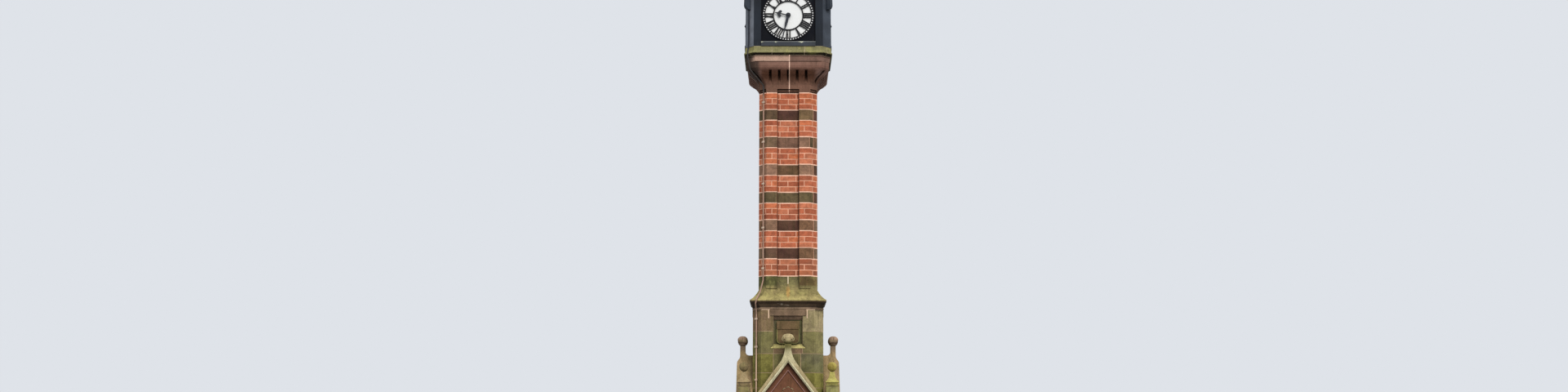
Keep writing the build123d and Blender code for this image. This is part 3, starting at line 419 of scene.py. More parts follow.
# Places on the tower
def turned(point, quarters):
    """Point in plan, turned about the axis."""
    x, y = point
    for _ in range(quarters % 4):
        x, y = -y, x
    return Vector((x, y))


def at(side, across, out, height):
    """Point on one side: so far across it, out from the axis, and up."""
    return (*turned((across, -out), side), height)


def square(middle, half, height):
    """Corners of a level square about an upright line."""
    return [(middle[0] + x * half, middle[1] + y * half, height) for x, y in SQUARE]


def around(count):
    """Angles that divide a full turn."""
    return [math.tau * step / count for step in range(count)]


def extent(node):
    """Foot, head and half width of a CAD node."""
    low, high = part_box(node)
    return low.z, high.z, high.x


def foot(node):
    return extent(node)[0]


def head(node):
    return extent(node)[1]


def half_of(node):
    return extent(node)[2]


def arc(first, middle, last, steps):
    """Points of the circular arc through three points."""
    (ax, ay), (bx, by), (cx, cy) = first, middle, last
    turn = 2 * (ax * (by - cy) + bx * (cy - ay) + cx * (ay - by))
    a, b, c = ax**2 + ay**2, bx**2 + by**2, cx**2 + cy**2
    ox = (a * (by - cy) + b * (cy - ay) + c * (ay - by)) / turn
    oy = (a * (cx - bx) + b * (ax - cx) + c * (bx - ax)) / turn
    start, mid, end = (math.atan2(y - oy, x - ox) for x, y in (first, middle, last))
    sweep = (end - start) % math.tau
    if (mid - start) % math.tau > sweep:
        sweep -= math.tau
    radius = math.hypot(ax - ox, ay - oy)
    angles = [start + sweep * step / steps for step in range(steps + 1)]
    return [(ox + radius * math.cos(angle), oy + radius * math.sin(angle)) for angle in angles]


class Level:
    """Plan of a course at one height: half width, width of the corner cut, and a recess in every side."""

    def __init__(self, height, half, leg=0.0, recess_half=0.0, recess_depth=0.0):
        self.height = height
        self.half = half
        self.leg = leg
        self.recess_half = recess_half
        self.recess_depth = recess_depth
        plain_edges = ("face", "corner") if leg else ("face",)
        self.edges = RECESSED_EDGES if recess_depth else plain_edges

    def inset(self, distance):
        """The same plan, every face moved inwards."""
        leg = max(0.0, self.leg - distance * (2 - math.sqrt(2))) if self.leg else 0.0
        recess = self.recess_half + distance if self.recess_depth else 0.0
        return Level(self.height, self.half - distance, leg, recess, self.recess_depth)

    def corner(self, number):
        """Corner in plan, counted from the left of the front on round all four sides."""
        front, flat, reach = -self.half, self.half - self.leg, self.recess_half
        points = [(-flat, front)]
        if self.recess_depth:
            back = front + self.recess_depth
            points += [(-reach, front), (-reach, back), (reach, back), (reach, front)]
        if self.leg:
            points.append((flat, front))
        return turned(points[number % len(points)], number // len(points))

    def locate(self, side, edge, value):
        """Point on an edge, with the number of the edge and the way along it."""
        number = side * len(self.edges) + self.edges.index(edge)
        start = self.corner(number)
        end = self.corner(number + 1)
        if edge in ("face", "left", "recess", "right"):
            first = turned(start, -side).x
            value = min(1.0, max(0.0, (value - first) / (turned(end, -side).x - first)))
        return start.lerp(end, value), number, (end - start).normalized()


def course_levels(low, high, half, leg=0.0, recess=(0.0, 0.0)):
    return [Level(low, half, leg, *recess), Level(high, half, leg, *recess)]


class Masonry:
    """Gathers stones, each with its own colour, into one mesh."""

    def __init__(self):
        self.points = []
        self.faces = []
        self.tones = []

    def put(self, points, faces, tone):
        first = len(self.points)
        self.points += points
        self.faces += [tuple(first + index for index in face) for face in faces]
        self.tones += [tone] * len(points)

    def skin(self, rows, tone=MORTAR, closed=True, flip=False, caps=()):
        """Surface through rows of points. Each row is a ring unless it is open."""
        count = len(rows[0])
        faces = list(caps)
        for low in range(0, count * (len(rows) - 1), count):
            high = low + count
            for k in range(count if closed else count - 1):
                after = (k + 1) % count
                face = (low + k, low + after, high + after, high + k)
                faces.append((face[0], face[3], face[2], face[1]) if flip else face)
        self.put([point for row in rows for point in row], faces, tone)

    def block(self, middle, half, low, high, tone=MORTAR):
        """Square block about an upright line."""
        rows = [square(middle, half, height) for height in (low, high)]
        self.skin(rows, tone, caps=((3, 2, 1, 0), (4, 5, 6, 7)))

    def bar(self, path, radius, tone, count=10):
        """Round bar along a path."""
        rows = []
        for index, point in enumerate(path):
            ahead = path[min(index + 1, len(path) - 1)] - path[max(index - 1, 0)]
            ahead.normalize()
            across = ahead.cross(Vector((0, 0, 1)))
            if across.length < 1e-4:
                across = Vector((1, 0, 0))
            across.normalize()
            rise = across.cross(ahead)
            rows.append([tuple(point + (across * math.cos(angle) + rise * math.sin(angle)) * radius)
                         for angle in around(count)])
        last = (len(path) - 1) * count
        self.skin(rows, tone, caps=(tuple(reversed(range(count))), tuple(range(last, last + count))))

    def run(self, level, start, end, gap):
        """Line of one stone's face in plan, from one mark to another."""
        first, first_edge, first_way = level.locate(*start)
        last, last_edge, last_way = level.locate(*end)
        line = [first + first_way * gap / 2]
        line += [level.corner(number) for number in range(first_edge + 1, last_edge + 1)]
        return line + [last - last_way * gap / 2]

    def stone(self, levels, start, end, tone, depth=0.05, proud=0.0, gap=None):
        """One stone that follows the levels from bottom to top, between two marks of (side, edge, value).

        A value may be a list, with one number for every level.
        """
        if gap is None:
            gap = sizes().stone_joint
        rows = []
        for number, level in enumerate(levels):
            marks = [(side, edge, value[number] if isinstance(value, list) else value)
                     for side, edge, value in (start, end)]
            height = level.height
            if number == 0:
                height += gap / 2
            if level is levels[-1]:
                height -= gap / 2
            for setback in (-proud, depth):
                line = self.run(level.inset(setback), *marks, gap)
                rows.append([(*point, height) for point in line])
        count = len(rows[0])
        top = (len(rows) - 2) * count
        faces = []
        for low in range(0, top, 2 * count):
            high = low + 2 * count
            faces += [(low + k, low + k + 1, high + k + 1, high + k) for k in range(count - 1)]
            faces.append((low + count, low, high, high + count))
            faces.append((low + count - 1, high - 1, high + 2 * count - 1, high + count - 1))
        for k in range(count - 1):
            faces.append((top + k, top + k + 1, top + count + k + 1, top + count + k))
            faces.append((count + k, count + k + 1, k + 1, k))
        self.put([point for row in rows for point in row], faces, tone)

    def core(self, levels, depth=None):
        """Unbroken ring behind the stones, which shows in their joints."""
        rows = []
        for level in levels:
            inner = level.inset(sizes().joint_depth if depth is None else depth)
            rows.append([(*inner.corner(number), level.height) for number in range(4 * len(inner.edges))])
        self.skin(rows)

    def joint(self, side, across, width, line, depth):
        """Bar of mortar that follows a profile of (distance from the axis, height) up one side."""
        rows = []
        for out, height in line:
            ends = ((-width / 2, depth), (-width / 2, 0.0), (width / 2, 0.0), (width / 2, depth))
            rows.append([at(side, across + offset, out - setback, height) for offset, setback in ends])
        self.skin(rows, closed=False)

    def build(self, name, material, slot, arris=0.0, replaces=(), body="tower", smooth=False):
        """Makes the mesh a piece of a body, with its finish, worn arrises and the node it stands for."""
        mesh = bpy.data.meshes.new(name)
        mesh.from_pydata(self.points, [], self.faces)
        mesh.validate()
        tones = mesh.attributes.new("stone_colour", "FLOAT_COLOR", "POINT")
        tones.data.foreach_set("color", [channel for tone in self.tones for channel in (*tone, 1.0)])
        mesh.materials.append(material)
        if smooth:
            mesh.polygons.foreach_set("use_smooth", [True] * len(mesh.polygons))
        piece = bpy.data.objects.new(name, mesh)
        bpy.context.scene.collection.objects.link(piece)
        if arris:
            bevel = piece.modifiers.new("Worn arris", "BEVEL")
            bevel.width = arris
            bevel.segments = 2
            bevel.limit_method = "ANGLE"
            bevel.angle_limit = math.radians(28)
        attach(piece, body)
        if replaces:
            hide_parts(*replaces)


def coat(material, *nodes):
    """Gives CAD nodes a finish."""
    for name in nodes:
        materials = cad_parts[name].data.materials
        materials.clear()
        materials.append(material)


def dealt(dice, tones, wander=0.08):
    """One tone out of several, a little lighter or darker."""
    return scaled(dice.choice(tones), 1 + dice.uniform(-wander, wander))


class Maker:
    """What every operator of the tower shares."""
    bl_options = {"REGISTER", "UNDO"}

    def dice(self, extra):
        return random.Random(sizes().seed * 1000 + extra)


class CLOCKTOWER_OT_steps(Maker, bpy.types.Operator):
    """Lays the two steps and the plinth course as long blocks with a worn nosing"""
    bl_idname = "clock_tower.steps"
    bl_label = "Steps and Plinth"

    def execute(self, context):
        hues = colours()
        dice = self.dice(1)
        tones = [mixed(hues.brown, hues.pale, share) for share in (0.25, 0.35, 0.45)]
        finish = stone_finish("Step stone", growth=0.45, lichen=0.25, shade_in_nooks=0.5, soften=0)
        pointing = mortar_finish("Step pointing", hues.pointing)
        for name, depth, joints in (("lower_step", 0.30, (-0.74, -0.22, 0.30, 0.82)),
                                    ("upper_step", 0.25, (-0.56, 0.02, 0.62)),
                                    ("plinth_course", 0.22, (-0.42, 0.12, 0.58))):
            low, high, half = extent(name)
            slot = "base_stone"
            levels = [Level(low, half), Level(high - 0.06, half), Level(high, half - 0.06)]
            if name != "plinth_course":
                slot = "step_stone"
                nosing = arc((half, high - 0.018), (half - 0.0053, high - 0.0053), (half - 0.018, high), 4)
                levels = [Level(low, half)] + [Level(z, x) for x, z in nosing]
            wall, bed = Masonry(), Masonry()
            bed.core(levels + [Level(high, half - depth)])
            bed.put([(x * half, y * half, low) for x, y in SQUARE], [(0, 3, 2, 1)], MORTAR)
            for side in range(4):
                marks = [(side, "face", joint) for joint in joints] + [(side + 1, "face", joints[0])]
                for start, end in zip(marks, marks[1:]):
                    wall.stone(levels, start, end, dealt(dice, tones), depth, dice.uniform(-0.0006, 0.0006))
            wall.build(f"{name}_stones", finish, slot, sizes().stone_arris, (name,))
            bed.build(f"{name}_bed", pointing, slot)
        return {"FINISHED"}


class CLOCKTOWER_OT_lower_stage(Maker, bpy.types.Operator):
    """Lays the courses of the lower stage and of the four corner piers"""
    bl_idname = "clock_tower.lower_stage"
    bl_label = "Lower Stage"

    def execute(self, context):
        hues = colours()
        dice = self.dice(2)
        tones = [mixed(hues.olive, hues.brown, share) for share in (0.0, 0.35, 0.7)]
        low, high, half = extent("lower_stage")
        courses, flat, reach, deep, pilaster_depth = 5, 0.539, 0.446, 0.08, 0.03
        plan = (half, half - flat, (reach, deep))
        rise = (high - low) / courses
        wall, bed = Masonry(), Masonry()
        bed.core(course_levels(low, high, *plan))
        for course in range(courses):
            levels = course_levels(low + course * rise, low + (course + 1) * rise, *plan)
            joints = (-reach, -0.15, 0.15, reach) if course % 2 else (-reach, 0.0, reach)
            for side in range(4):
                for start, end in zip(joints, joints[1:]):
                    wall.stone(levels, (side, "recess", start), (side, "recess", end), dealt(dice, tones),
                               proud=dice.uniform(-0.0006, 0.001))
                for start, end in (((side, "left", -flat), (side, "left_return", 1.0)),
                                   ((side, "right_return", 0.0), (side, "right", flat))):
                    wall.stone(levels, start, end, dealt(dice, tones), pilaster_depth)
        finish = stone_finish("Lower stage stone", growth=0.5, lichen=0.2, soften=0)
        pointing = mortar_finish("Stage pointing", hues.pointing)
        wall.build("lower_stage_stones", finish, "base_stone", sizes().stone_arris, ("lower_stage",))
        bed.build("lower_stage_bed", pointing, "base_stone")
        for corner in CORNERS:
            self.lay_pier(corner, dice, finish, pointing)
        return {"FINISHED"}

    def lay_pier(self, corner, dice, finish, pointing):
        """One pier: square blocks under a necking roll."""
        hues = colours()
        node = f"corner_pier_{corner}"
        low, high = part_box(node)
        middle = ((low.x + high.x) / 2, (low.y + high.y) / 2)
        roll = 0.009
        half = (high.x - low.x) / 2 - roll
        tones = [mixed(hues.green, hues.pale, share) for share in (0.1, 0.28)]
        if corner.endswith("left"):
            tones = [mixed(hues.brown, hues.olive, share) for share in (0.1, 0.5)]
        roll_foot = high.z - 0.017 - roll
        heights = [low.z + (roll_foot - low.z) * share for share in (0, 0.17, 0.35, 0.52, 0.69, 0.85, 1)]
        gap = sizes().stone_joint
        wall = Masonry()
        for bottom, top in zip(heights, heights[1:]):
            wall.block(middle, half, bottom + gap / 2, top - gap / 2, dealt(dice, tones))
        wall.block(middle, half, roll_foot + 2 * roll, high.z, tones[0])
        wall.build(f"pier_blocks_{corner}", finish, "base_stone", sizes().stone_arris, (node,))
        ring = Masonry()
        outline = arc((half, 0.0), (half + roll, roll), (half, 2 * roll), 8)
        ring.skin([square(middle, edge, roll_foot + rise) for edge, rise in outline], tones[0])
        ring.build(f"pier_roll_{corner}", finish, "base_stone", 0.002)
        bed = Masonry()
        bed.block(middle, half - sizes().joint_depth, low.z, high.z - 0.001)
        bed.build(f"pier_bed_{corner}", pointing, "base_stone")


class CLOCKTOWER_OT_gablets(Maker, bpy.types.Operator):
    """Finishes the gablets, their panels with a rosette, and the pier caps"""
    bl_idname = "clock_tower.gablets"
    bl_label = "Gablets and Finials"

    def execute(self, context):
        coat(stone_finish("Gablet stone", self.front_gablet_tone, growth=0.12, shade_in_nooks=0.7, streak=0.25, mottle=0.16,
                          soften=0.008), "gablet_front")
        coat(stone_finish("Side gablet stone", self.shaded_tone, growth=0.32, shade_in_nooks=0.7, streak=0.4,
                          mottle=0.2, soften=0.008), "gablet_left", "gablet_right", "gablet_back")
        coat(stone_finish("Panel stone", paint(106, 68, 50), growth=0.08, shade_in_nooks=0.7, streak=0.3, mottle=0.2),
             "tympanum_panels")
        self.carve_heads()
        self.carve_rosettes()
        self.point_panels()
        for hand, cap, ball, moss in (("left", paint(154, 132, 100), paint(122, 104, 76), 0.1),
                                      ("right", paint(172, 160, 90), paint(158, 140, 70), 0.4)):
            def tone(finish, cap=cap, ball=ball):
                return finish.rising(cap, ball, 2.27, 2.30)
            finish = stone_finish(f"Cap stone on the {hand}", tone, growth=0.15, lichen=moss, shade_in_nooks=0.6,
                                  mottle=0.2)
            coat(finish, f"pier_finial_front_{hand}", f"pier_finial_back_{hand}")
        return {"FINISHED"}

    def front_gablet_tone(self, finish):
        """Pale hood with a painted highlight on its inner splay, a greenish neck with painted shadow under
        the finial, and a buff head.
        """
        tone = self.splay_highlight_and_shade(finish, paint(170, 152, 114), paint(206, 198, 164))
        tone = finish.rising(tone, paint(184, 174, 138), 2.30, 2.46)
        # Painted shadow on the neck under the finial's head.
        tone = finish.rising(tone, paint(104, 97, 58), 2.53, 2.65)
        return finish.rising(tone, paint(178, 162, 122), 2.69, 2.73)

    def shaded_tone(self, finish):
        """Browner hood and a dark head, darkened with painted shade."""
        rake = self.splay_highlight_and_shade(finish, paint(160, 132, 100), paint(178, 156, 120))
        return finish.rising(rake, paint(132, 110, 92), 2.56, 2.66)

    def splay_highlight_and_shade(self, finish, plain, highlight):
        """Paints a highlight along the opening of the hood, where its inner splay catches light, and shade in
        a groove beside it.
        """
        away = finish.weighed(finish.along("Z"), (finish.aside(), GABLET_SLOPE))
        edge, width = foot("tympanum_panels") + 0.627, 0.014
        # Painted shade in the groove outside the splay.
        groove_shade_tone = finish.cover(plain, scaled(plain, 0.62), away, edge + width, edge + 2 * width, 1.0, 0.0)
        # Painted highlight on the inner splay.
        return finish.cover(groove_shade_tone, highlight, away, edge, edge + width, 1.0, 0.0)

    def carve_heads(self):
        """Broad lobed bud with a drilled volute low on each hand, on top of every gablet."""
        top = head("gablet_front") + 0.003
        rows, count, lobes, turns = 18, 72, 6, 26
        bud = Masonry()
        for side in range(4):
            rings = []
            for row in range(rows + 1):
                rise = math.cos(math.pi * row / rows)
                girth = math.sin(math.pi * row / rows) ** 0.8
                height = top - 0.058 + (0.058 if rise > 0 else 0.034) * rise
                ring = []
                for angle in around(count):
                    lobe = math.sin((angle - math.pi / 2) * lobes / 2 + math.pi / 2)
                    groove = 1 - 0.20 * max(0.0, 1 - abs(lobe) * 2.2) * girth
                    ring.append(at(side, 0.086 * girth * groove * math.cos(angle),
                                   0.664 - 0.074 * girth * groove * math.sin(angle), height))
                rings.append(ring)
            # The buds of the side gablets get a darker tone, painted shade.
            bud.skin(rings, paint(178, 160, 122) if side == 0 else paint(158, 130, 110), flip=True)
            for hand in (-1, 1):
                spiral = []
                for share in (step / turns for step in range(turns + 1)):
                    angle = math.radians(60) + share * math.tau * 1.25
                    reach = 0.020 * (1 - 0.66 * share)
                    across = hand * (0.050 - reach * math.cos(angle))
                    height = top - 0.082 + reach * math.sin(angle)
                    spiral.append(Vector(at(side, across, 0.716 + 0.008 * share, height)))
                # The side volutes get a darker tone, painted shade.
                bud.bar(spiral, 0.0065, paint(160, 140, 104) if side == 0 else paint(112, 92, 76), 8)
        finish = stone_finish("Carved bud", growth=0.1, shade_in_nooks=0.9, streak=0.25, mottle=0.14, soften=0)
        bud.build("gablet_buds", finish, "gablet_stone", smooth=True)

    def carve_rosettes(self):
        """Eight petals about a bud, cut in relief on every panel."""
        low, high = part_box("tympanum_panels")
        face = high.x - 0.014
        middle = low.z + 0.143
        radius, rings, spokes, petals = 0.095, 14, 96, 8
        flower = Masonry()
        for side in range(4):
            rows = []
            for reach in (ring / rings for ring in range(rings, -1, -1)):
                bud = max(0.0, 1 - (reach / 0.3) ** 2) ** 0.5 * 0.014
                swell = math.sin(math.pi * min(1.0, max(0.0, (reach - 0.28) / 0.72))) ** 0.7
                row = []
                for angle in around(spokes):
                    leaf = abs(math.cos(angle * petals / 2)) ** 0.55
                    crease = 1 - 0.35 * max(0.0, 1 - abs(math.sin(angle * petals / 2)) * 5)
                    rise = max(bud, 0.013 * swell * (0.25 + 0.75 * leaf) * crease) + 0.001
                    edge = radius * (0.74 + 0.26 * leaf)
                    out = face + rise if reach < 1 else face - 0.002
                    row.append(at(side, math.cos(angle) * edge * reach, out,
                                  middle + math.sin(angle) * edge * reach))
                rows.append(row)
            flower.skin(rows, mixed(colours().maroon, colours().pale, 0.35))
        finish = stone_finish("Carved stone", shade_in_nooks=0.7, growth=0.2, soften=0)
        flower.build("panel_rosettes", finish, "red_stone", smooth=True)

    def point_panels(self):
        """Mortar line round the sunk field of every panel."""
        low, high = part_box("tympanum_panels")
        slope = GABLET_SLOPE
        outer = 0.4457 - 0.062 * math.sqrt(1 + slope**2) / slope
        inner = outer - 0.012
        joints = Masonry()
        for side in range(4):
            for hand in (-1, 1):
                corners = ((hand * outer, 0.0), (0.0, outer * slope), (0.0, inner * slope),
                           (hand * inner, 0.0))
                rows = [[at(side, x, out, low.z + z) for x, z in corners]
                        for out in (high.x + 0.0015, high.x - 0.015)]
                joints.skin(rows, flip=True, caps=((0, 1, 2, 3),))
        joints.build("panel_pointing", mortar_finish("Panel pointing", paint(156, 116, 108)), "red_stone")


class CLOCKTOWER_OT_base_block(Maker, bpy.types.Operator):
    """Lays the squared stones of the base block and finishes its shields and mouldings"""
    bl_idname = "clock_tower.base_block"
    bl_label = "Base Block"

    def execute(self, context):
        hues = colours()
        dice = self.dice(3)
        low, high, half = extent("base_block")
        leg, opening, sill, lintel, deep = BLOCK_CUT, 0.208, 0.254, 0.276, 0.045
        flat, depth = half - leg, 0.06
        sill_foot, sunk_foot, sunk_head = foot("shield_sills"), foot("shield_tablets"), high - 0.094
        wall, bed = Masonry(), Masonry()
        for bottom, top, recess in ((low, sill_foot, (0.0, 0.0)), (sill_foot, sunk_foot, (sill, deep)),
                                    (sunk_foot, sunk_head, (opening, deep)), (sunk_head, high, (0.0, 0.0))):
            bed.core(course_levels(bottom, top, half, leg, recess))
        olive, green, grey, brown = hues.olive, hues.green, hues.grey, hues.brown
        pale = mixed(olive, hues.pale, 0.42)
        fronts = ((green, olive, green), (green, olive, green), (green, olive, grey), (olive, olive, olive),
                  (brown, brown, mixed(brown, pale, 0.5)))
        beds = (low, 2.06, 2.274, 2.547, 2.867, high)
        step = 0.0001
        cut = {3: ((beds[3], sill_foot, sill_foot + step, sunk_foot, beds[4]),
                   [opening, opening, sill, opening, opening], (beds[3], sill_foot), opening),
               4: ((beds[4], sunk_head, sunk_head + step, high), [opening, opening, lintel, lintel],
                   (sunk_head, high), lintel)}
        for course, (bottom, top) in enumerate(zip(beds, beds[1:])):
            for side in range(4):
                even = course % 2 == 0
                reach = flat if even else 0.30
                wraps = side % 2 == 0
                first = (side - 1, "face", reach) if wraps else (side, "face", -reach)
                last = (side + 1, "face", -reach) if wraps else (side, "face", reach)
                tones = fronts[course]
                if side:
                    tones = [dice.choice((olive, green, grey, brown, pale, olive)) for _ in range(3)]
                tones = [scaled(tone, 1 + dice.uniform(-0.07, 0.07)) for tone in tones]
                if course in cut:
                    heights, reaches, (own_foot, own_head), span = cut[course]
                    mirrored = [-mark for mark in reaches]
                    marks = [(first, (side, "face", mirrored)), ((side, "face", reaches), last)]
                    own = course_levels(own_foot, own_head, half, leg)
                    wall.stone(own, (side, "face", -span), (side, "face", span), scaled(brown, 0.92), depth)
                else:
                    heights = (bottom, top)
                    joints = (-0.21, 0.183) if even else (-0.05,)
                    places = [first] + [(side, "face", joint) for joint in joints] + [last]
                    marks = list(zip(places, places[1:]))
                levels = [Level(height, half, leg) for height in heights]
                for (start, end), tone in zip(marks, tones if len(marks) == 3 else (tones[0], tones[2])):
                    wall.stone(levels, start, end, tone, depth, dice.uniform(-0.0006, 0.001))
        for side in range(4):
            wall.stone(course_levels(sunk_foot, sunk_head, half - deep, leg), (side, "face", -opening),
                       (side, "face", opening), scaled(grey, 0.9), 0.01, gap=0.0)
        finish = stone_finish("Base stone", self.block_tone, growth=0.26, lichen=0.06, shade_in_nooks=0.55, mottle=0.22,
                              soften=0)
        wall.build("base_block_stones", finish, "base_stone", sizes().stone_arris * 0.7, ("base_block",))
        bed.build("base_block_bed", mortar_finish("Base pointing", hues.pointing), "base_stone")
        lines = Masonry()
        face = half + 0.0015
        for side in range(4):
            for across in (-0.279, 0.275):
                lines.joint(side, across, 0.015, [(face, sunk_head - 0.036), (face, high - 0.004)], 0.02)
        lines.core(course_levels(high - 0.009, high + 0.002, half, leg), -0.0012)
        fresh = mortar_finish("Fresh pointing", paint(218, 186, 158))
        lines.build("base_block_pointing", fresh, "base_stone")
        shield, label, sill_tone = paint(98, 78, 54), paint(114, 92, 74), paint(190, 176, 116)
        coat(stone_finish("Shield stone", shield, growth=0.2, shade_in_nooks=0.6, streak=0.3), "shield_tablets")
        coat(stone_finish("Label stone", label, growth=0.08, shade_in_nooks=0.75, streak=0.25), "label_mouldings")
        coat(stone_finish("Sill stone", sill_tone, growth=0.2, lichen=0.3), "shield_sills")
        coat(stone_finish("Moulding stone", self.moulding_tone, growth=0.08, shade_in_nooks=0.6), "base_moulding")
        self.rim_shields()
        return {"FINISHED"}

    def block_tone(self, finish):
        """Every stone in its own tone, paler along the arrises, and lightened with painted light on the
        corner facets, most of all on the right.
        """
        stone = finish.stone_colour()
        aside = finish.aside()
        arris = half_of("base_block") - BLOCK_CUT
        near, far = 0.003, 0.009
        # Painted light: the corner facets are lightened, most on the right, where the lamp stands.
        sunny = finish.spread(finish.along("X"), 0.0, 0.1, 1.06, 1.3)
        stone = finish.cover(stone, finish.lit(stone, sunny), aside, arris + near, arris + far)
        from_arris = finish.size(finish.maths("SUBTRACT", aside, arris))
        return finish.cover(stone, finish.lit(stone, 1.55), from_arris, near, far, 0.6, 0.0)

    def moulding_tone(self, finish):
        """Two dark lines in a dark hollow, a paler roll, and a few long pale chips."""
        low, top = foot("base_moulding"), head("base_moulding")
        tone = finish.rising(paint(126, 104, 86), paint(72, 56, 42), low + 0.021, low + 0.029)
        for under, over in ((top - 0.052, top - 0.024), (top - 0.096, top - 0.066)):
            above, below = finish.height(under, under + 0.008), finish.height(over + 0.004, over - 0.004)
            tone = finish.blend(finish.times(above, below, 0.6), tone, paint(44, 32, 26))
        ragged = finish.spread(finish.noise((7.0, 20.0, 40.0), 4.0, 0.5), 0.50, 0.62, 0.0, 0.5)
        for across, rise, reach in ((-0.22, 0.084, 0.05), (-0.12, 0.078, 0.06), (-0.09, 0.012, 0.07),
                                    (-0.02, 0.020, 0.06)):
            chip = finish.times(finish.near((across, -0.515, low + rise), reach), ragged)
            tone = finish.blend(chip, tone, paint(206, 192, 176))
        return tone

    def rim_shields(self):
        """Narrow raised rim round each blank shield."""
        low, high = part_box("shield_tablets")
        face = high.x - 0.008
        half, corner, width = 0.164, 0.058, 0.011
        inward = corner * 0.293
        outer = [(-half, high.z)]
        outer += arc((-half, low.z + corner), (inward - half, low.z + inward), (corner - half, low.z), 6)
        outer += [(-x, z) for x, z in reversed(outer)]
        middle = (low.z + high.z) / 2
        inner = [(x - math.copysign(width, x), z + (width if z < middle else 0)) for x, z in outer]
        proud = face + 0.006
        rims = Masonry()
        for side in range(4):
            rows = [[at(side, x, out, z) for x, z in line]
                    for line, out in ((outer, face), (outer, proud), (inner, proud), (inner, face))]
            rims.skin(rows, colours().olive, closed=False)
        finish = stone_finish("Shield rim stone", growth=0.5, lichen=0.3, soften=0)
        rims.build("shield_rims", finish, "base_stone", 0.002)


class CLOCKTOWER_OT_splay(Maker, bpy.types.Operator):
    """Finishes the weathered splay and points its joints"""
    bl_idname = "clock_tower.splay"
    bl_label = "Weathered Splay"

    def execute(self, context):
        finish = stone_finish("Splay stone", self.splay_tone, growth=0.2, lichen=0.2, shade_in_nooks=0.5)
        coat(finish, "weathered_splay")
        low, high = foot("weathered_splay"), head("weathered_splay")
        line = [(0.552, low)] + arc((0.552, low + 0.016), (0.446, low + 0.132), (0.378, high), 14)
        fresh_foot, overlap = high - 0.13, 0.03
        upper = [(out + 0.0015, z) for out, z in line if z > fresh_foot]
        lower = [(out + 0.0008, z) for out, z in line if z < fresh_foot + overlap]
        fresh, worn = Masonry(), Masonry()
        for side in range(4):
            fresh.joint(side, 0.0, 0.013, upper, 0.02)
            worn.joint(side, 0.0, 0.007, lower, 0.02)
        fresh.build("splay_pointing", mortar_finish("Splay pointing", paint(214, 196, 166)), "splay_stone")
        worn.build("splay_joint", mortar_finish("Worn splay joint", paint(150, 122, 80)), "splay_stone")
        return {"FINISHED"}

    def splay_tone(self, finish):
        """Pale at the lip, greener and darker up to the brickwork, with brown stubs and a rusty stain."""
        low, high = foot("weathered_splay"), head("weathered_splay")
        tone = finish.rising(paint(164, 148, 99), paint(136, 122, 80), low + 0.02, low + 0.10)
        tone = finish.rising(tone, paint(98, 90, 60), low + 0.15, high - 0.10)
        across = finish.along("X")
        outside = finish.spread(finish.aside(), RECESS_HALF - 0.004, RECESS_HALF + 0.004)
        stub = finish.times(outside, finish.height(high - 0.16, high - 0.13), 0.85)
        shade = finish.cover(paint(76, 74, 42), paint(98, 76, 48), across, -0.05, 0.05)
        tone = finish.blend(stub, tone, shade)
        narrow = finish.spread(finish.size(across), 0.012, 0.034, 0.75, 0.0)
        stain = finish.times(finish.near((0.0, -0.47, low + 0.14), 0.12), narrow)
        return finish.blend(stain, tone, paint(190, 146, 78))


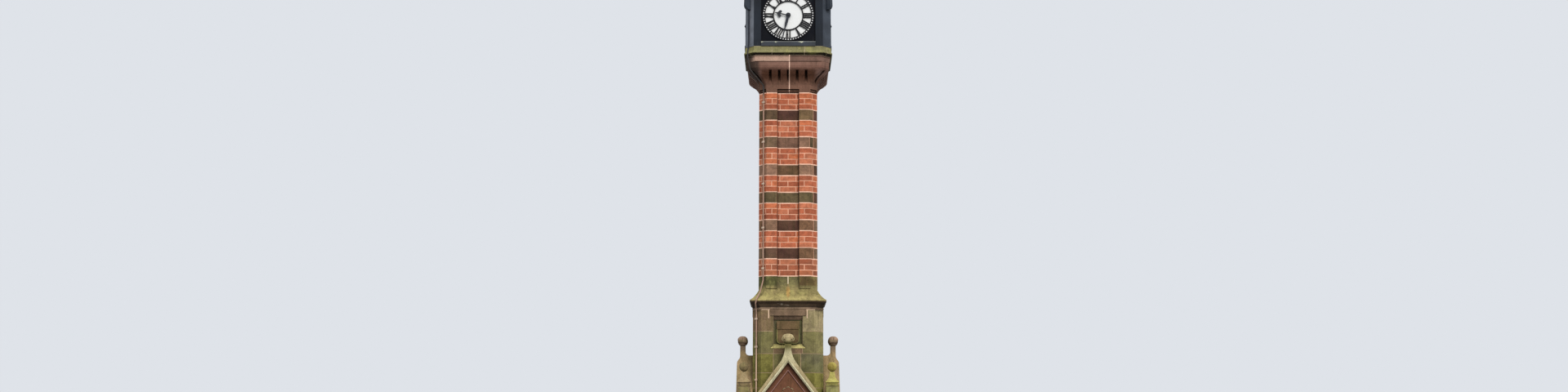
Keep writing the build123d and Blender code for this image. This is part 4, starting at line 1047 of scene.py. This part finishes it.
class CLOCKTOWER_OT_shaft(Maker, bpy.types.Operator):
    """Lays the bricks and the stone bands of the shaft"""
    bl_idname = "clock_tower.shaft"
    bl_label = "Brick Shaft"

    def execute(self, context):
        hues = colours()
        dice = self.dice(4)
        low, high, half = extent("shaft_brickwork")
        leg, recess_depth, depth = 0.110, 0.050, 0.045
        plan = (half, leg, (RECESS_HALF, recess_depth))
        groups, brick_courses, band_courses = 7, 3, 2
        pitch = brick_courses + band_courses
        gauge = (high - low) / (groups * pitch - band_courses)
        bricks, bands, bed, lines = Masonry(), Masonry(), Masonry(), Masonry()
        bed.core(course_levels(low, high, *plan))
        tones = [hues.brick, hues.brick, scaled(hues.brick, 0.88), mixed(hues.brick, paint(150, 78, 54), 0.6),
                 mixed(hues.brick, paint(196, 122, 90), 0.5), mixed(hues.brick, paint(190, 108, 70), 0.6)]
        maroon, brown, pink, khaki = hues.maroon, mixed(hues.maroon, hues.brown, 0.75), hues.rose, hues.khaki
        olive = mixed(maroon, hues.olive, 0.5)
        fronts = ((mixed(maroon, hues.olive, 0.3), maroon, mixed(khaki, hues.olive, 0.3)),
                  (brown, mixed(maroon, pink, 0.6), pink), (pink, scaled(khaki, 0.8), pink),
                  (olive, olive, olive), (pink, maroon, khaki), (mixed(maroon, brown, 0.35), maroon, khaki))
        for group in range(groups):
            start = low + group * pitch * gauge
            band_foot = start + brick_courses * gauge
            for course in range(brick_courses):
                levels = course_levels(start + course * gauge, start + (course + 1) * gauge, *plan)
                for side in range(4):
                    for first, last in self.brick_marks(side, course % 2, dice):
                        bricks.stone(levels, first, last, dealt(dice, tones, 0.1), depth,
                                     dice.uniform(-0.0006, 0.0014), sizes().brick_joint)
            for boundary in (start, band_foot):
                lines.core(course_levels(boundary - 0.008, boundary + 0.008, *plan), -0.0004)
            if group == groups - 1:
                continue
            levels = course_levels(band_foot, start + pitch * gauge, *plan)
            for side in range(4):
                left, middle, right = fronts[-1 - group] if side == 0 else [
                    dice.choice((maroon, olive, brown, pink, khaki)) for _ in range(3)]
                corner = (side, "corner", 0.5)
                stones = [((side, "recess", -RECESS_HALF), (side, "recess", RECESS_HALF), middle),
                          ((side, "right_return", 0.0), corner, right),
                          ((side - 1, "corner", 0.5), (side, "left_return", 1.0), left)]
                if side == 0 and group == 4:
                    joint = (0, "right", 0.318)
                    stones[1:2] = [((0, "right_return", 0.0), joint, right),
                                   (joint, corner, scaled(olive, 0.72))]
                for first, last, tone in stones:
                    bands.stone(levels, first, last, scaled(tone, 0.93 + dice.uniform(-0.06, 0.06)), depth,
                                dice.uniform(-0.0006, 0.001))
        finish = brick_finish("Brick")
        bricks.build("shaft_bricks", finish, "brick", sizes().brick_arris, ("shaft_brickwork",))
        finish = stone_finish("Band stone", self.band_tone, growth=0.1, shade_in_nooks=0.35, streak=0.25, soften=0)
        bands.build("shaft_band_stones", finish, "band_stone", sizes().stone_arris * 0.6, ("shaft_bands",))
        lines.build("shaft_bed_lines", mortar_finish("Bed lime", hues.bed_lime), "brick")
        bed.build("shaft_mortar", mortar_finish("Brick mortar", hues.mortar), "brick")
        return {"FINISHED"}

    def band_tone(self, finish):
        """Every stone in its own tone, with painted shade in the corners of the recess."""
        return finish.recess_shade(finish.stone_colour())

    def brick_marks(self, side, odd, dice):
        """Start and end of every brick of a course on one side, with the corner on its left."""
        shift = dice.uniform(-0.003, 0.003)
        joints = (0.0,) if odd else (-STRETCHER / 2, STRETCHER / 2)
        places = [-RECESS_HALF, *(joint + shift for joint in joints), RECESS_HALF]
        pairs = [((side, "recess", start), (side, "recess", end)) for start, end in zip(places, places[1:])]
        if odd:
            right, left = (side, "right", STRETCHER + shift), (side, "left", -STRETCHER + shift)
            return pairs + [((side, "right_return", 0.0), right), (right, (side, "corner", 0.92)),
                            ((side - 1, "corner", 0.92), left), (left, (side, "left_return", 1.0))]
        return pairs + [((side, "right_return", 0.0), (side, "corner", 0.37)),
                        ((side - 1, "corner", 0.37), (side, "left_return", 1.0))]


class CLOCKTOWER_OT_corbel(Maker, bpy.types.Operator):
    """Finishes the corbel course and lays the fascia and the string course over it"""
    bl_idname = "clock_tower.corbel"
    bl_label = "Corbel and String Course"

    def execute(self, context):
        dice = self.dice(5)
        coat(stone_finish("Corbel stone", self.corbel_tone, growth=0.04, shade_in_nooks=0.75, streak=0.3, mottle=0.16,
                          grit=0.14), "corbel_course")
        low, high, wide = extent("string_course")
        leg, half, drip_half, rise = 0.128, 0.614, 0.632, 0.0001
        fascia_top = low + 0.067
        roll_top = fascia_top + 0.027
        drip = roll_top + 0.028
        roll = arc((half, fascia_top), (half + 0.008, fascia_top + 0.0135), (half, roll_top), 6)
        fascia = [Level(low, half - 0.002, leg)] + [Level(z, x, leg) for x, z in roll]
        weathered = [Level(z, out, leg) for z, out in (
            (roll_top, half), (roll_top + 0.014, half), (roll_top + 0.014 + rise, drip_half),
            (drip, drip_half), (drip + rise, wide), (drip + 0.012, wide), (drip + 0.042, 0.634),
            (high, drip_half))]
        joints = Masonry()
        profile = self.corbel_profile()
        front_joint, other_joint = 0.017, 0.22
        fascia_profile = [(level.half, level.height) for level in fascia]
        joints.joint(0, front_joint, 0.014, [(out + 0.0015, z) for out, z in profile], 0.06)
        for side in range(1, 4):
            joints.joint(side, other_joint, 0.008, [(out + 0.001, z) for out, z in profile], 0.03)
        joints.joint(0, front_joint, 0.014, [(out + 0.0015, z) for out, z in fascia_profile], 0.06)
        pointing = mortar_finish("Corbel pointing", paint(222, 184, 164))
        joints.build("corbel_pointing", pointing, "corbel_stone")
        wall, top, bed, shadow_bed = Masonry(), Masonry(), Masonry(), Masonry()
        shadow_bed.core(fascia)
        bed.core(weathered)
        buff, rose, green = paint(177, 144, 126), paint(118, 90, 78), paint(132, 126, 88)
        for side in range(4):
            centre = (side, "face", other_joint if side else front_joint)
            wraps = side % 2 == 0
            first = (side - 1, "corner", 0.0) if wraps else (side, "face", leg - half)
            last = (side, "corner", 1.0) if wraps else (side, "face", half - leg)
            for start, end, tone in ((first, centre, buff), (centre, last, rose)):
                wall.stone(fascia, start, end, dealt(dice, (buff, rose)) if side else tone)
            marks = [(side - 1, "corner", 0.5), (side, "face", -0.24), (side, "face", 0.24),
                     (side, "corner", 0.5)]
            for start, end in zip(marks, marks[1:]):
                top.stone(weathered, start, end, scaled(green, dice.uniform(0.9, 1.08)))
        finish = stone_finish("Fascia stone", self.fascia_tone, shade_in_nooks=0.5, streak=0.2, mottle=0.16, grit=0.14,
                              soften=0.004)
        wall.build("fascia_stones", finish, "string_stone", 0.003, ("string_course",))
        finish = stone_finish("String stone", self.string_tone, growth=0.2, lichen=0.3, shade_in_nooks=0.75, streak=0.2,
                              mottle=0.16, soften=0.004)
        top.build("string_stones", finish, "string_stone", 0.004)
        bed.build("string_bed", mortar_finish("String pointing", paint(182, 164, 134)), "string_stone")
        # Dark mortar behind the fascia stones paints the shadow line at their foot.
        shadow_bed.build("fascia_bed", mortar_finish("Painted shadow bed", paint(70, 52, 44)), "string_stone")
        return {"FINISHED"}

    def corbel_profile(self):
        """Head of the shaft, flare and band, as (distance from the axis, height)."""
        low, high = foot("corbel_course"), head("corbel_course")
        flare = low + 0.119
        profile = [(out, low + rise) for out, rise in (
            (0.379, 0.001), (0.379, 0.026), (0.411, 0.028), (0.411, 0.043), (0.395, 0.045), (0.395, 0.060),
            (0.429, 0.0605))]
        profile += arc((0.432, flare), (0.4624, flare + 0.076), (0.5295, flare + 0.143), 10)
        return profile + [(0.5862, flare + 0.2), (0.6, flare + 0.226), (0.6, low + 0.38), (0.604, high)]

    def string_tone(self, finish):
        """Every stone in its own tone, black with painted shadow under the drip."""
        drip = foot("string_course") + 0.122
        # Painted shadow on the underside, below the drip.
        return finish.rising(paint(34, 20, 12), finish.stone_colour(), drip - 0.004, drip + 0.004)

    def corbel_tone(self, finish):
        """Dark flare, cleaner towards its sides, under a lighter band."""
        low, band = foot("corbel_course"), head("corbel_course") - 0.056
        tone = finish.cover(paint(98, 64, 48), paint(144, 112, 102), finish.aside(), 0.36, 0.46)
        tone = finish.rising(tone, paint(112, 80, 66), low + 0.26, low + 0.10)
        tone = finish.rising(tone, paint(112, 80, 68), band - 0.10, band - 0.03)
        tone = finish.rising(tone, paint(126, 93, 80), band - 0.004, band + 0.004)
        # Painted shadow in the corner where the conduit runs.
        return self.conduit_corner_shade(finish, tone, 0.40, 0.46)

    def conduit_corner_shade(self, finish, tone, shade_start, shade_full):
        """Blackens the corner where the conduit runs: painted shadow of the conduit and of its slot."""
        across = finish.spread(finish.along("X"), -shade_start, -shade_full)
        # Painted shadow: the mask is full in the conduit's corner.
        damp = finish.times(across, finish.spread(finish.along("Y"), -0.1, -0.3, 0.0, 0.85))
        return finish.blend(damp, tone, paint(48, 38, 32))

    def fascia_tone(self, finish):
        """Every stone in its own tone, dark with painted shadow on top of its roll under the string course,
        and in the conduit's corner.
        """
        roll = foot("string_course") + 0.078
        # Painted shadow on the upper roll, under the drip of the string course.
        tone = finish.rising(finish.stone_colour(), paint(40, 26, 20), roll, roll + 0.006)
        return self.conduit_corner_shade(finish, tone, 0.50, 0.56)


class CLOCKTOWER_OT_clock_case(Maker, bpy.types.Operator):
    """Paints the clock case, its brackets, sill rails, cornice and finial"""
    bl_idname = "clock_tower.clock_case"
    bl_label = "Clock Case"

    def execute(self, context):
        coat(iron_finish("Housing paint", self.case_tone, wear=0.1, rough=0.55, gloss=0.07, ledge=0.3),
             "clock_case")
        coat(iron_finish("Cornice paint", scaled(colours().iron_paint, 1.15), gloss=0.2), "case_brackets",
             "eaves_cornice", "roof_finial")
        coat(iron_finish("Rail paint", self.rail_tone, wear=0.1, gloss=0.2, ledge=0.7), "dial_sills")
        return {"FINISHED"}

    def case_tone(self, finish):
        """Darkest in the sunk panels, and paler corner facets with a painted reflection of the sky, most of
        all on the left.
        """
        dial = (foot("dial_frames") + head("dial_frames")) / 2
        aside = finish.aside()
        above = finish.size(finish.maths("SUBTRACT", finish.along("Z"), dial))
        framed = finish.maths("MAXIMUM", aside, above)
        stile = finish.cover(paint(9, 11, 18), scaled(colours().iron_paint, 0.66), framed, 0.396, 0.404)
        # Painted reflection of the sky on the corner facets, strongest on the left.
        facet_reflection = finish.cover(paint(108, 112, 121), paint(62, 67, 75), finish.along("X"), -0.1, 0.1)
        return finish.cover(stile, facet_reflection, aside, 0.505, 0.515)

    def rail_tone(self, finish):
        """Dark rail, paler along its top edge, with a few ragged pale crusts on the front one."""
        high = head("dial_sills")
        tone = finish.rising(paint(44, 48, 55), paint(104, 107, 110), high - 0.016, high - 0.008)
        ragged = finish.spread(finish.noise(46.0, 4.0, 0.6), 0.44, 0.56)
        for across, reach in ((-0.40, 0.03), (-0.375, 0.022), (-0.18, 0.026), (-0.16, 0.018), (0.17, 0.026),
                              (0.2, 0.03)):
            crust = finish.times(finish.near((across, -half_of("dial_sills"), high - 0.006), reach), ragged)
            tone = finish.blend(crust, tone, paint(190, 190, 166))
        return tone


class CLOCKTOWER_OT_dials(Maker, bpy.types.Operator):
    """Finishes the dials and hands and puts a turned boss on every minute hand"""
    bl_idname = "clock_tower.dials"
    bl_label = "Dials and Hands"

    def execute(self, context):
        opal = opal_finish("Opal glass")
        coat(opal, "dial_glasses")
        coat(iron_finish("Dial paint", paint(24, 24, 28), wear=0.04, rough=0.45, gloss=0.12, ledge=0.1),
             "dial_frames")
        hand_paint = iron_finish("Hand paint", paint(36, 38, 44), wear=0.08, rough=0.4, gloss=0.2, ledge=0.2)
        coat(hand_paint, *(f"{kind}_hand_{side}" for kind in ("minute", "hour") for side in SIDES))
        low, high, front = extent("dial_frames")
        centre = (low + high) / 2
        self.glaze_minutes(opal, centre, front)
        count, least = 24, 0.0004
        outline = ((0.0, 0.0), (0.019, 0.0), (0.021, 0.002), (0.019, 0.005), (0.012, 0.006), (0.011, 0.009),
                   (0.006, 0.012), (0.0, 0.013))
        for side, name in enumerate(SIDES):
            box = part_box(f"minute_hand_{name}")
            out = max(abs(corner[1 - side % 2]) for corner in box)
            rows = []
            for radius, rise in outline:
                radius = max(radius, least)
                rows.append([at(side, math.cos(angle) * radius, out + rise, centre + math.sin(angle) * radius)
                             for angle in around(count)])
            boss = Masonry()
            boss.skin(rows, HAND_METAL)
            boss.build(f"hand_boss_{name}", hand_paint, "hand_metal", body=f"minute_hand_{name}_body",
                       smooth=True)
        return {"FINISHED"}

    def glaze_minutes(self, opal, centre, front):
        """Small opal panes that fill the sixty openings of every outer ring."""
        radius, tall, wide = 0.363, 0.0087, 0.0082
        panes = Masonry()
        for side in range(4):
            for angle in around(60):
                rows = []
                for setback, shrink in ((0.018, 0.0), (0.0035, 0.0), (0.002, 0.0015)):
                    row = []
                    for out, over in SQUARE:
                        reach, offset = radius + out * (tall - shrink), over * (wide - shrink)
                        across = reach * math.cos(angle) - offset * math.sin(angle)
                        rise = reach * math.sin(angle) + offset * math.cos(angle)
                        row.append(at(side, across, front - setback, centre + rise))
                    rows.append(row)
                panes.skin(rows, PANE_WHITE, caps=((8, 9, 10, 11),))
        panes.build("minute_panes", opal, "opal_glass")


class CLOCKTOWER_OT_roof(Maker, bpy.types.Operator):
    """Covers the roof with lead and runs rolls up its hips and slopes"""
    bl_idname = "clock_tower.roof"
    bl_label = "Lead Roof"

    def execute(self, context):
        lead = lead_finish("Sheet lead")
        coat(lead, "roof")
        low, high, half = extent("roof")
        kick = half - 0.175
        slope_foot, steps = low + 0.13, 6
        profile = arc((half, low + 0.014), (kick + 0.062, low + 0.06), (kick, slope_foot), 8)
        for step in range(1, steps + 1):
            reach = kick + (0.06 - kick) * step / steps
            profile.append((reach, slope_foot + (high - slope_foot) * step / steps))
        rolls = Masonry()
        radius = sizes().roll_radius
        for side in range(4):
            for across in (-1.0, -0.33, 0.33, 1.0):
                path = []
                for reach, height in profile:
                    flat = reach - 0.15 * reach / half
                    path.append(Vector(at(side, across * flat, reach - radius * 0.35, height)))
                rolls.bar(path, radius, LEAD_GREY)
        rolls.build("roof_rolls", lead, "roof_lead", smooth=True)
        return {"FINISHED"}


class CLOCKTOWER_OT_conduit(Maker, bpy.types.Operator):
    """Paints the conduit and its saddles"""
    bl_idname = "clock_tower.conduit"
    bl_label = "Conduit"

    def execute(self, context):
        coat(conduit_finish("Conduit paint", paint(162, 130, 112)), "conduit")
        coat(conduit_finish("Saddle paint", paint(200, 176, 156)), "conduit_saddles")
        return {"FINISHED"}


class CLOCKTOWER_OT_stage(Maker, bpy.types.Operator):
    """Sets the floor, the soft light, the pale background and the camera"""
    bl_idname = "clock_tower.stage"
    bl_label = "Stage"

    def execute(self, context):
        context.scene.view_settings.view_transform = "Standard"
        self.floor()
        self.light()
        self.background()
        self.camera()
        return {"FINISHED"}

    def place(self, name, data):
        """Links an object of the stage."""
        item = bpy.data.objects.new(name, data)
        bpy.context.scene.collection.objects.link(item)
        return item

    def floor(self):
        """Pale ground, darker in the light that it throws back at the tower."""
        reach = 60.0
        mesh = bpy.data.meshes.new("floor")
        mesh.from_pydata([(x * reach, y * reach, 0) for x, y in SQUARE], [], [(0, 1, 2, 3)])
        finish = Finish("Floor")
        pale = finish.blend(finish.noise(0.7), paint(214, 216, 218), paint(224, 226, 229))
        rays = finish.add("LightPath").outputs
        seen = finish.maths("MAXIMUM", rays["Is Camera Ray"], rays["Is Glossy Ray"])
        tone = finish.blend(seen, paint(122, 122, 118), pale)
        mesh.materials.append(finish.done(tone, 0.9, 0.1))
        ground = self.place("floor", mesh)

    def light(self):
        """One broad, soft lamp high on the right; the sky does the rest."""
        lamp = bpy.data.lights.new("key", "SUN")
        lamp.energy = 2.5
        lamp.angle = math.radians(38)
        lamp.color = (1.0, 0.985, 0.96)
        spot = Vector((4.2, -11.6, 14.0))
        aim = Vector((0.0, 0.0, 5.0)) - spot
        turn = aim.to_track_quat("-Z", "Y").to_matrix().to_4x4()
        self.place("key", lamp).matrix_world = Matrix.Translation(spot) @ turn

    def background(self):
        """Overcast sky: one tone where it is seen, another where it lights."""
        sky = bpy.data.worlds.new("sky")
        bpy.context.scene.world = sky
        sky.use_nodes = True
        graph = Graph(sky.node_tree)
        rays = graph.add("LightPath").outputs
        seen = graph.maths("MAXIMUM", rays["Is Camera Ray"], rays["Is Glossy Ray"])
        seen = graph.maths("MAXIMUM", seen, rays["Is Transmission Ray"])
        lighting = graph.add("Background", {"Color": (0.93, 0.97, 1.0), "Strength": 0.8})
        backdrop = graph.add("Background", {"Color": paint(223, 227, 233)})
        mix = graph.add("MixShader", {0: seen, 1: lighting.outputs[0], 2: backdrop.outputs[0]})
        graph.add("OutputWorld", {"Surface": mix.outputs[0]})

    def camera(self):
        """Where the photographer stood, 21.7 m off at eye level and looking up."""
        camera = bpy.data.cameras.new("camera")
        camera.sensor_fit = "HORIZONTAL"
        camera.sensor_width = 36.0
        camera.lens = 33.8
        camera.clip_end = 200.0
        viewer = self.place("camera", camera)
        spot, upward, lean = (-0.060, -21.69, 1.60), 8.67, 0.06
        tilt = Matrix.Rotation(math.radians(90 + upward), 4, "X")
        roll = Matrix.Rotation(math.radians(lean), 4, "Z")
        viewer.matrix_world = Matrix.Translation(spot) @ tilt @ roll
        bpy.context.scene.camera = viewer


OPERATORS = (CLOCKTOWER_OT_stage, CLOCKTOWER_OT_steps, CLOCKTOWER_OT_lower_stage, CLOCKTOWER_OT_gablets,
             CLOCKTOWER_OT_base_block, CLOCKTOWER_OT_splay, CLOCKTOWER_OT_shaft, CLOCKTOWER_OT_corbel,
             CLOCKTOWER_OT_clock_case, CLOCKTOWER_OT_dials, CLOCKTOWER_OT_roof, CLOCKTOWER_OT_conduit)


class CLOCKTOWER_PT_panel(bpy.types.Panel):
    """Lists the sizes, the colours and the operators that build the tower"""
    bl_idname = "CLOCKTOWER_PT_panel"
    bl_label = "Clock Tower"
    bl_space_type = "VIEW_3D"
    bl_region_type = "UI"
    bl_category = "Clock Tower"

    def draw(self, context):
        for group in (sizes(), colours()):
            column = self.layout.column(align=True)
            for name in group.bl_rna.properties.keys():
                if name not in ("rna_type", "name"):
                    column.prop(group, name)
        column = self.layout.column(align=True)
        for operator in OPERATORS:
            column.operator(operator.bl_idname)


CLASSES = (TowerSizes, TowerColours, *OPERATORS, CLOCKTOWER_PT_panel)


def register():
    for kind in CLASSES:
        bpy.utils.register_class(kind)
    bpy.types.Scene.tower_sizes = PointerProperty(type=TowerSizes)
    bpy.types.Scene.tower_colours = PointerProperty(type=TowerColours)


def unregister():
    del bpy.types.Scene.tower_colours
    del bpy.types.Scene.tower_sizes
    for kind in reversed(CLASSES):
        bpy.utils.unregister_class(kind)


def main():
    register()
    for operator in OPERATORS:
        group, name = operator.bl_idname.split(".")
        getattr(getattr(bpy.ops, group), name)()


if __name__ == "__main__":
    main()
